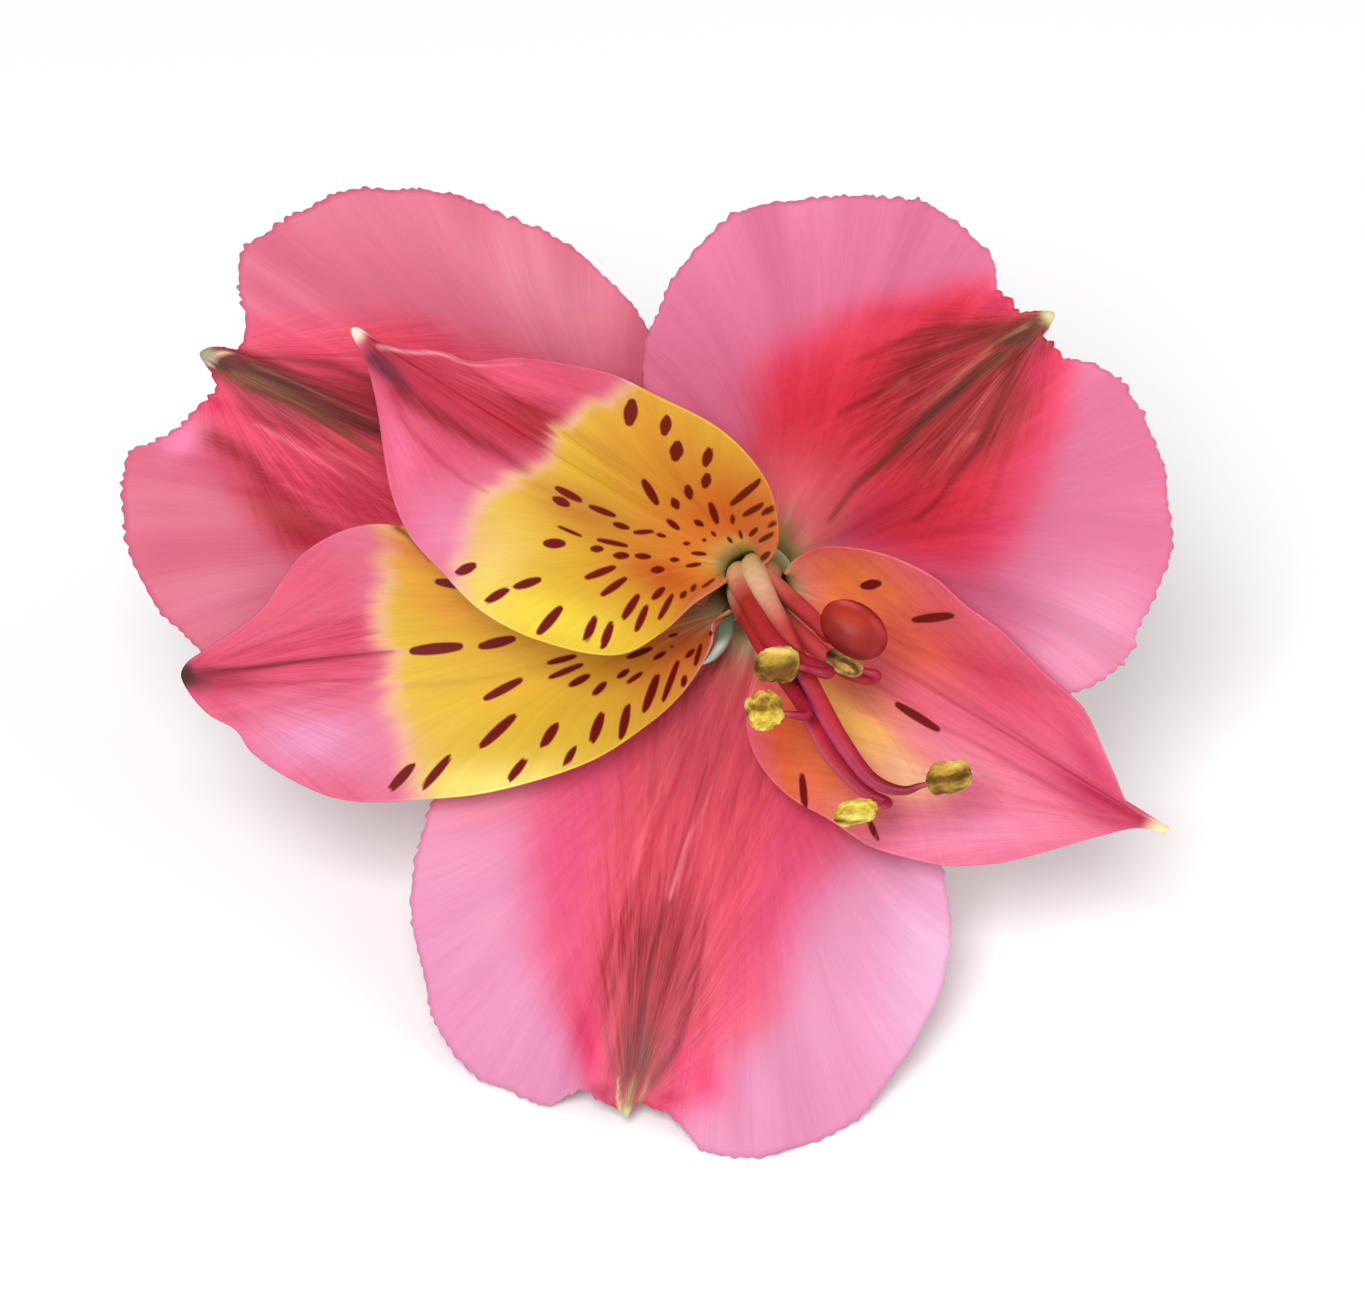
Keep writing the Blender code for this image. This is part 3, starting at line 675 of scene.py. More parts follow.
outerLower = {
    "whorl": "outer", "slot": "outer_tepal", "claw": 268, "tipSlope": 6, "sideSlope": -22, "rise": 0.34,
    "tip": (-8.3, -41.05, -1.0),
    "counter": [
        (-7.85, -40.4, -1.1), (-7.3, -39.9, -1.2), (-6.2, -40.35, -1.1), (-5.2, -40.5, -1.0),
        (-4.2, -41.4, -0.8), (-2.4, -43.2, -0.3), (1.5, -43.5, 0.0), (6.8, -42.4, -1.1), (9.8, -40.0, -2.0),
        (12.7, -35.9, -3.0), (15.0, -32.2, -3.8), (15.9, -27.0, -4.8), (15.3, -22.6, -6.5),
        (13.0, -17.0, -9.5), (9.0, -11.5, -13.5), (5.5, -7.0, -19.0)],
    "clockwise": [
        (-8.75, -40.5, -1.1), (-9.4, -40.1, -1.2), (-10.4, -39.5, -1.6), (-11.4, -38.85, -2.0),
        (-12.6, -39.3, -2.8), (-13.9, -40.0, -3.8), (-18.4, -38.5, -5.4), (-21.7, -35.6, -5.5),
        (-23.2, -31.5, -5.5), (-24.3, -26.3, -5.0), (-23.9, -21.9, -5.0), (-22.3, -17.4, -6.0),
        (-18.0, -12.5, -9.0), (-12.0, -8.5, -13.5), (-5.5, -6.0, -19.0)],
    "finer": 19, "rows": 74, "thickness": 0.55,
    "relief": {"groove": 0.04, "grooves": 17, "keel": 0.08, "ruffle": 0.65, "pitch": 4.2, "seed": 3},
    "teeth": {"pitch": (0.5, 1.4), "height": 0.36, "seed": 21}, "base": (224, 140, 178),
    "backTone": (238, 176, 196), "backShare": 0.45,
    "zones": [
        {"colour": (229, 80, 128), "streaks": 0.08, "soft": 2.8, "fray": 0.35, "mottle": 0.06, "stations": [
            (0.2, 14, 14), (0.48, 10.4, 13), (0.57, 9.4, 11.8), (0.73, 8.4, 9.8), (0.84, 6.6, 7.0),
            (0.9, 5.6, 4.9), (0.96, 4.4, 3.4), (1.0, 3.0, 1.8)]},
        {"colour": (232, 82, 105), "streaks": 0.32, "soft": 3.0, "fray": 0.5, "mottle": 0.1, "stations": [
            (0.2, 6.4, 6.4), (0.5, 6.2, 6.4), (0.7, 5.6, 5.6), (0.85, 4.4, 4.2), (0.95, 2.6, 2.0),
            (1.0, 1, 1)]},
        {
            "colour": (172, 46, 56), "streaks": 0.9, "soft": 1.5, "fray": 1.0, "strength": 0.85,
            "softAlong": 0.12, "mottle": 0.14, "begins": [(-4, 0.68), (0, 0.57), (5, 0.64)],
            "stations": [
                (0.4, 2.4, 4.4), (0.64, 2.6, 4.4), (0.81, 2.4, 3.1), (0.92, 1.6, 1.5), (1.0, 0.6, 0.6)]}],
    "washes": [
        # The wash at (-3.5, -11.0) darkens the top of the blade to a dusky red: painted shade where the inner
        # tepals lie over it
        (14.5, -30.0, 4.0, 10.0, 0, (238, 184, 218), 0.9), (-3.5, -11.0, 8.0, 5.5, 80, (206, 74, 92), 0.85),
        (7.0, -19.5, 4.5, 3.0, 0, (222, 76, 102), 0.5), (-19.0, -17.5, 5.0, 2.6, 0, (230, 124, 148), 0.7),
        (0.6, -5.4, 1.0, 1.6, 10, (186, 156, 76), 0.9), (-0.6, -8.0, 1.6, 2.0, 0, (206, 108, 92), 0.6),
        (-2.6, -8.6, 2.2, 1.4, 60, (186, 66, 80), 0.6), (-10.9, -36.2, 0.9, 3.4, 14, (230, 46, 106), 0.85),
        (-10.2, -38.9, 0.9, 0.4, -25, (162, 28, 58), 0.95), (-5.3, -39.5, 1.3, 0.6, 10, (206, 36, 88), 0.9),
        (-2.6, -38.0, 2.6, 1.6, -50, (232, 60, 114), 0.9), (0.8, -33.2, 2.0, 3.4, -30, (240, 84, 104), 0.6),
        (-7.4, -36.6, 1.5, 2.4, -12, (122, 66, 60), 0.85)],
    "veinsAndFoldShade": [
        ((148, 30, 44), 0.42, 0.95, [
            (-7.9, -37.8), (-7.5, -34.8), (-7.0, -32.2), (-6.4, -29.3), (-5.9, -27.4), (-5.3, -25.5),
            (-4.8, -23.3), (-3.6, -18.9), (-2.2, -14.5)]),
        ((240, 130, 142), 0.32, 0.7, [
            (-5.0, -24.4), (-4.5, -23.0), (-3.9, -20.8), (-2.8, -18.6), (-1.2, -14.6)]),
        ((150, 34, 56), 0.5, 0.85, [
            (-6.4, -38.4), (-5.4, -36.9), (-4.6, -35.6), (-3.6, -33.0), (-2.8, -29.2), (-2.4, -26.4)]),
        ((180, 52, 76), 0.36, 0.7, [
            (-9.3, -37.4), (-9.7, -35.0), (-9.9, -32.4), (-9.8, -27.8), (-9.0, -23.0)]),
        ((176, 46, 64), 0.3, 0.7, [
            (-6.0, -36.4), (-5.2, -33.0), (-4.0, -29.5), (-2.8, -26.4), (-1.8, -23.0)]),
        ((170, 50, 66), 0.34, 0.6, [
            (-8.6, -36.8), (-8.4, -32.6), (-7.6, -29.0), (-7.0, -25.0), (-6.2, -21.0)]),
        ((236, 122, 134), 0.24, 0.6, [(-9.4, -31.4), (-9.2, -28.6), (-8.8, -25.5)]),
        ((236, 120, 130), 0.24, 0.5, [(-8.2, -26.0), (-7.0, -20.0), (-5.4, -15.5), (-3.8, -12.0)]),
        ((168, 150, 100), 0.55, 0.9, [(-8.3, -40.4), (-8.0, -39.2), (-7.7, -38.0)]),
        ((168, 142, 96), 0.3, 0.8, [(-7.4, -39.9), (-7.0, -39.0), (-6.6, -37.9)]),
        ((240, 206, 172), 0.22, 0.9, [(-8.75, -40.4), (-8.9, -39.0), (-8.9, -37.9)])],
    "nib": {"colour": (206, 206, 150), "reach": 1.0},
    # The claw's cream, painted brighter than its own colour as painted light in the shaded throat
    "clawPaintAndLight": {"colour": (252, 240, 196), "from": -12.5, "to": -17.0},
}
makeTepal("outer_tepal_lower", outerLower)

outerRight = {
    "whorl": "outer", "slot": "outer_tepal", "claw": 40, "tipSlope": 15, "sideSlope": -5, "rise": 0.34,
    "tip": (23.0, 18.3, 8.0),
    "counter": [
        (21.8, 18.45, 7.8), (20.5, 18.4, 7.5), (19.9, 19.3, 7.2), (19.0, 20.1, 6.6), (18.7, 21.9, 6.0),
        (16.4, 24.8, 4.5), (13.5, 26.7, 3.5), (9.8, 27.0, 2.5), (4.6, 26.8, 1.0), (0.1, 25.9, 0.0),
        (-3.6, 22.6, -0.5), (-6.4, 17.4, -1.5), (-6.7, 13.0, -3.5), (-5.0, 9.0, -7.0), (-2.0, 6.0, -11.0),
        (1.5, 3.8, -16.5)],
    "clockwise": [
        (22.6, 17.4, 7.9), (22.15, 16.75, 7.8), (22.9, 16.1, 7.7), (23.6, 14.9, 7.6), (24.9, 14.75, 7.4),
        (26.8, 14.1, 7.0), (29.0, 12.2, 6.0), (30.5, 9.3, 5.0), (31.6, 4.8, 3.5), (31.9, 1.9, 2.5),
        (30.9, -1.9, 1.5), (29.4, -4.8, 0.5), (29.0, -6.7, 0.0), (26.8, -8.5, -1.0), (24.2, -9.4, -2.0),
        (18.0, -9.0, -7.5), (12.5, -6.8, -13.0), (8.2, -4.2, -19.5)],
    "finer": 17, "rows": 74, "thickness": 0.55,
    "relief": {"groove": 0.04, "grooves": 19, "keel": 0.08, "ruffle": 0.7, "pitch": 4.2, "seed": 5},
    "teeth": {"pitch": (0.5, 1.4), "height": 0.42, "seed": 22}, "base": (217, 112, 149),
    "backTone": (238, 160, 184), "backShare": 0.45,
    "zones": [
        {
            "colour": (230, 66, 104), "streaks": 0.04, "mottle": 0.06, "soft": 1.9, "fray": 0.4,
            "softAlong": 0.08, "frayAlong": 0.02,
            "begins": [(-10, 0.32), (-7, 0.22), (-3, 0.22), (0, 0.26), (3, 0.27), (7, 0.34), (10, 0.4)],
            "stations": [
                (0.2, 9, 9), (0.3, 11.0, 9.6), (0.4, 11.6, 10.8), (0.55, 11.0, 11.1), (0.69, 9.8, 9.2),
                (0.86, 6.8, 6.2), (0.95, 4.6, 4.0), (1.0, 3.2, 2.8)]},
        {
            "colour": (228, 52, 75), "streaks": 0.14, "soft": 2.2, "fray": 0.5, "softAlong": 0.09,
            "mottle": 0.13,
            "begins": [(-10, 0.4), (-7, 0.3), (-3, 0.34), (0, 0.4), (3, 0.38), (7, 0.42), (10, 0.5)],
            "stations": [
                (0.3, 8.8, 7.4), (0.4, 9.4, 8.2), (0.55, 8.8, 7.6), (0.69, 7.4, 6.0), (0.86, 4.6, 3.8),
                (0.95, 2.6, 2.0), (1.0, 1.4, 1.2)]},
        {
            "colour": (164, 44, 50), "streaks": 0.8, "soft": 1.5, "fray": 1.0, "strength": 0.9,
            "softAlong": 0.14, "mottle": 0.12,
            "begins": [(-7, 0.66), (-4, 0.5), (0, 0.44), (3, 0.52), (5, 0.68)],
            "stations": [
                (0.4, 5.4, 4.6), (0.6, 6.2, 5.6), (0.8, 4.6, 4.4), (0.9, 2.8, 2.6), (1.0, 0.9, 0.9)]},
        {
            "colour": (112, 66, 34), "streaks": 1.0, "soft": 0.9, "fray": 0.7, "strength": 0.85,
            "softAlong": 0.06, "begins": [(-3, 0.92), (0, 0.8), (3, 0.92)],
            "stations": [(0.7, 1.3, 1.3), (0.9, 1.4, 1.2), (0.97, 0.9, 0.8), (1.0, 0.5, 0.5)]}],
    "washes": [
        # The first wash is the pale base, partly its own pink and partly painted light where it lies in shade
        (4.2, 5.2, 3.2, 4.4, -30, (255, 138, 150), 0.95), (5.4, 10.5, 4.0, 5.0, 0, (236, 52, 76), 0.6),
        (4.0, 1.6, 1.6, 2.0, 0, (240, 146, 140), 0.95), (2.95, -0.5, 1.0, 1.2, 0, (246, 232, 150), 1.0),
        (2.85, -0.6, 0.32, 0.6, -5, (176, 176, 62), 0.9), (25.5, 0.0, 4.0, 7.0, 0, (220, 118, 152), 0.6),
        (25.5, -5.5, 5.0, 4.6, 0, (238, 160, 194), 0.9), (14.5, 18.6, 5.0, 1.0, 4, (214, 38, 66), 0.6),
        (21.8, 14.6, 1.0, 1.8, -10, (206, 40, 88), 0.8), (22.3, 16.6, 0.4, 0.6, 0, (190, 30, 76), 0.8),
        (19.3, 19.2, 1.0, 0.5, -40, (200, 44, 92), 0.7), (13.0, 2.0, 4.0, 3.0, 0, (234, 66, 88), 0.5),
        (20.4, 16.8, 2.0, 0.9, 42, (92, 70, 30), 0.85), (6.6, 2.6, 2.6, 1.0, 55, (232, 112, 104), 0.6)],
    "veinsAndFoldShade": [
        ((146, 26, 34), 0.7, 0.9, [(20.6, 17.7), (16.4, 17.5), (13.5, 17.2), (10.5, 15.8), (8.0, 14.8)]),
        ((136, 36, 34), 0.6, 0.9, [
            (20.9, 17.4), (18.3, 17.0), (15.0, 15.8), (12.0, 13.8), (9.4, 12.2), (7.4, 11.2)]),
        ((100, 36, 20), 0.85, 0.95, [
            (21.2, 17.2), (19.4, 16.3), (17.6, 14.4), (16.1, 12.6), (14.2, 11.1), (12.4, 9.3), (10.5, 7.4),
            (8.7, 5.9), (6.8, 3.3)]),
        ((156, 44, 46), 0.5, 0.8, [(20.4, 15.8), (18.3, 12.6), (16.8, 11.5), (15.3, 9.5), (13.6, 7.4)]),
        ((134, 26, 30), 0.6, 0.95, [
            (20.9, 15.6), (19.8, 13.0), (18.3, 10.0), (17.2, 8.1), (16.1, 6.7), (14.8, 4.8), (13.1, 3.3)]),
        ((172, 40, 54), 0.6, 0.75, [
            (21.4, 15.8), (21.0, 13.7), (20.9, 11.5), (20.1, 9.3), (19.4, 7.0), (18.3, 4.1)]),
        ((150, 42, 44), 0.5, 0.75, [(19.4, 16.2), (16.6, 14.4), (14.9, 12.8), (13.0, 12.0), (11.0, 10.4)]),
        ((176, 44, 54), 0.4, 0.7, [(14.6, 8.1), (12.6, 6.1), (11.5, 5.2)]),
        ((196, 96, 78), 0.34, 0.7, [(18.6, 15.9), (16.2, 13.9), (14.6, 12.4), (13.2, 11.0)]),
        ((206, 88, 84), 0.34, 0.7, [(19.4, 14.2), (18.0, 12.0), (17.2, 10.4), (15.8, 8.8), (14.4, 7.2)]),
        ((208, 90, 84), 0.36, 0.6, [(12.4, 13.6), (10.6, 12.4), (9.4, 11.0)]),
        ((222, 96, 96), 0.36, 0.6, [(17.4, 9.6), (16.4, 8.4), (15.2, 6.9), (13.6, 5.6)]),
        ((168, 118, 80), 0.22, 0.8, [(21.4, 17.7), (20.0, 17.0), (18.6, 16.2)])],
    "nib": {"colour": (214, 206, 152), "reach": 1.25},
    # The claw's cream, painted brighter than its own colour as painted light in the shaded throat
    "clawPaintAndLight": {"colour": (255, 250, 196), "from": -11.5, "to": -16.0},
}
makeTepal("outer_tepal_right", outerRight)

outerLeft = {
    "whorl": "outer", "slot": "outer_tepal", "claw": 160, "tipSlope": 6, "sideSlope": -15, "rise": 0.34,
    "tip": (-40.0, 15.75, -2.0),
    "counter": [
        (-39.65, 15.0, -2.1), (-38.8, 13.75, -2.3), (-39.0, 12.7, -2.4), (-40.1, 11.85, -2.7),
        (-41.6, 10.2, -3.0), (-43.6, 9.1, -3.3), (-45.2, 8.5, -3.5), (-45.9, 6.3, -4.0), (-45.6, 2.6, -4.5),
        (-44.3, -1.1, -5.0), (-42.4, -4.1, -5.5), (-40.2, -6.3, -6.0), (-34.0, -9.5, -7.5),
        (-26.0, -10.0, -9.5), (-18.0, -8.5, -12.0), (-10.0, -5.8, -16.5), (-4.8, -4.2, -22.0)],
    "clockwise": [
        (-39.3, 16.2, -2.0), (-38.2, 16.2, -2.1), (-37.0, 16.1, -2.3), (-36.75, 16.6, -2.5),
        (-36.5, 18.9, -2.5), (-36.9, 21.1, -2.2), (-36.7, 23.0, -2.0), (-34.7, 24.8, -1.5),
        (-31.0, 27.0, -1.0), (-26.9, 27.9, -0.8), (-22.8, 27.6, -1.0), (-17.6, 26.1, -1.5),
        (-13.9, 24.4, -2.0), (-10.2, 21.9, -3.0), (-6.7, 17.4, -4.8), (-5.2, 13.0, -8.0),
        (-4.2, 9.0, -12.0), (-3.0, 5.0, -17.5)],
    "finer": 17, "rows": 74, "thickness": 0.55,
    "relief": {"groove": 0.04, "grooves": 19, "keel": 0.08, "ruffle": 0.75, "pitch": 4.0, "seed": 9},
    "teeth": {"pitch": (0.5, 1.3), "height": 0.5, "seed": 23}, "base": (214, 104, 132),
    "backTone": (238, 168, 190), "backShare": 0.45,
    "zones": [
        {"colour": (226, 70, 100), "streaks": 0.4, "soft": 2.4, "fray": 0.5, "mottle": 0.05, "stations": [
            (0.2, 9, 9), (0.5, 11.4, 8.8), (0.66, 11.2, 8.2), (0.74, 10.6, 7.5), (0.83, 8.8, 5.6),
            (0.9, 6.4, 3.9), (0.955, 4.4, 2.4), (1.0, 2.4, 1.2)]},
        {
            "colour": (150, 20, 30), "streaks": 0.5, "soft": 1.1, "fray": 0.8, "strength": 0.9,
            "softAlong": 0.1, "mottle": 0.08, "begins": [(-2, 0.5), (3, 0.4)],
            "stations": [
                (0.3, 0.6, 4.0), (0.66, 0.6, 3.9), (0.8, 0.8, 2.7), (0.9, 1.2, 1.4), (0.96, 0.8, 0.7),
                (1.0, 0.4, 0.3)]},
        {
            "colour": (136, 36, 50), "streaks": 0.9, "soft": 1.2, "fray": 1.0, "strength": 0.85,
            "softAlong": 0.09, "mottle": 0.1, "begins": [(-5, 0.88), (-3, 0.8), (0, 0.66), (1, 0.7)],
            "stations": [(0.6, 2.6, 0.4), (0.8, 3.2, 0.4), (0.9, 2.2, 0.6), (1.0, 0.6, 0.3)]}],
    "washes": [
        # The first wash, a crimson arc, is painted shade in the fold between the lower lobe and the tip
        (-33.5, 3.4, 5.6, 1.5, -38, (178, 28, 46), 0.9), (-38.5, 7.6, 3.6, 0.9, -8, (214, 76, 112), 0.7),
        (-14.0, 20.0, 7.0, 3.4, -35, (230, 138, 156), 0.85), (-42.5, 0.0, 3.0, 6.0, 0, (208, 98, 128), 0.6),
        (-38.2, 10.6, 1.2, 2.2, 25, (236, 66, 108), 0.8), (-41.2, 9.0, 2.0, 1.0, 35, (236, 128, 172), 0.8),
        (-38.6, 12.0, 0.5, 0.8, 25, (206, 30, 84), 0.8), (-33.0, 17.6, 4.0, 1.2, -4, (236, 88, 126), 0.6),
        (-29.4, 8.0, 4.0, 1.6, -36, (206, 74, 84), 0.5), (-32.0, 7.4, 3.4, 2.0, -45, (238, 76, 108), 0.6),
        (-25.5, 16.6, 2.6, 1.2, -10, (236, 70, 98), 0.7), (-37.5, -3.5, 4.5, 3.0, 0, (222, 126, 154), 0.5)],
    "veinsAndFoldShade": [
        ((84, 26, 6), 1.25, 1.1, [
            (-38.9, 15.2), (-36.2, 14.6), (-32.4, 12.8), (-29.5, 11.5), (-26.5, 9.8), (-18.0, 6.0)]),
        ((128, 74, 34), 0.66, 1.0, [
            (-37.2, 14.0), (-34.7, 13.1), (-31.7, 11.6), (-28.7, 9.6), (-26.2, 8.2), (-18.0, 4.6)]),
        ((152, 84, 56), 0.2, 0.8, [(-36.0, 14.9), (-33.0, 13.6), (-29.0, 11.7), (-26.0, 10.2)]),
        ((112, 36, 24), 0.28, 0.8, [(-36.5, 13.2), (-33.0, 11.9), (-30.0, 10.1), (-26.0, 7.4)]),
        ((128, 20, 30), 0.55, 0.7, [
            (-37.6, 15.4), (-33.0, 15.2), (-29.5, 14.6), (-27.2, 13.6), (-22.0, 11.0)]),
        # The wide crimson line below is painted shadow along that same fold
        ((160, 22, 40), 1.2, 0.85, [(-38.9, 9.4), (-36.6, 8.0), (-34.2, 5.6), (-31.8, 3.4), (-29.0, 2.4)]),
        ((190, 40, 70), 0.3, 0.8, [(-37.6, 13.2), (-36.1, 11.8), (-34.3, 9.6), (-32.0, 7.0), (-29.0, 4.9)]),
        ((196, 44, 72), 0.3, 0.7, [(-34.6, 10.6), (-31.7, 9.0), (-28.7, 7.0), (-25.8, 4.6)]),
        ((196, 44, 70), 0.34, 0.7, [(-34.0, 7.6), (-32.0, 5.4), (-29.5, 3.6), (-26.2, 2.9)]),
        ((240, 116, 136), 0.26, 0.7, [
            (-35.6, 10.4), (-33.2, 9.0), (-30.5, 7.4), (-27.0, 5.2), (-24.5, 3.6)]),
        ((240, 106, 126), 0.26, 0.6, [(-31.0, 8.6), (-28.5, 7.4), (-26.4, 6.2)]),
        ((240, 100, 126), 0.26, 0.6, [(-33.5, 6.0), (-31.0, 4.6), (-28.0, 3.6)]),
        ((250, 226, 190), 0.26, 0.95, [(-39.15, 14.9), (-38.95, 15.45), (-38.2, 15.75), (-37.5, 15.7)])],
    "nib": {"colour": (160, 156, 128), "reach": 1.4},
    # The claw's cream, painted brighter than its own colour as painted light in the shaded throat
    "clawPaintAndLight": {"colour": (252, 240, 196), "from": -12.0, "to": -17.0},
}
makeTepal("outer_tepal_left", outerLeft)

print("inner tepals")

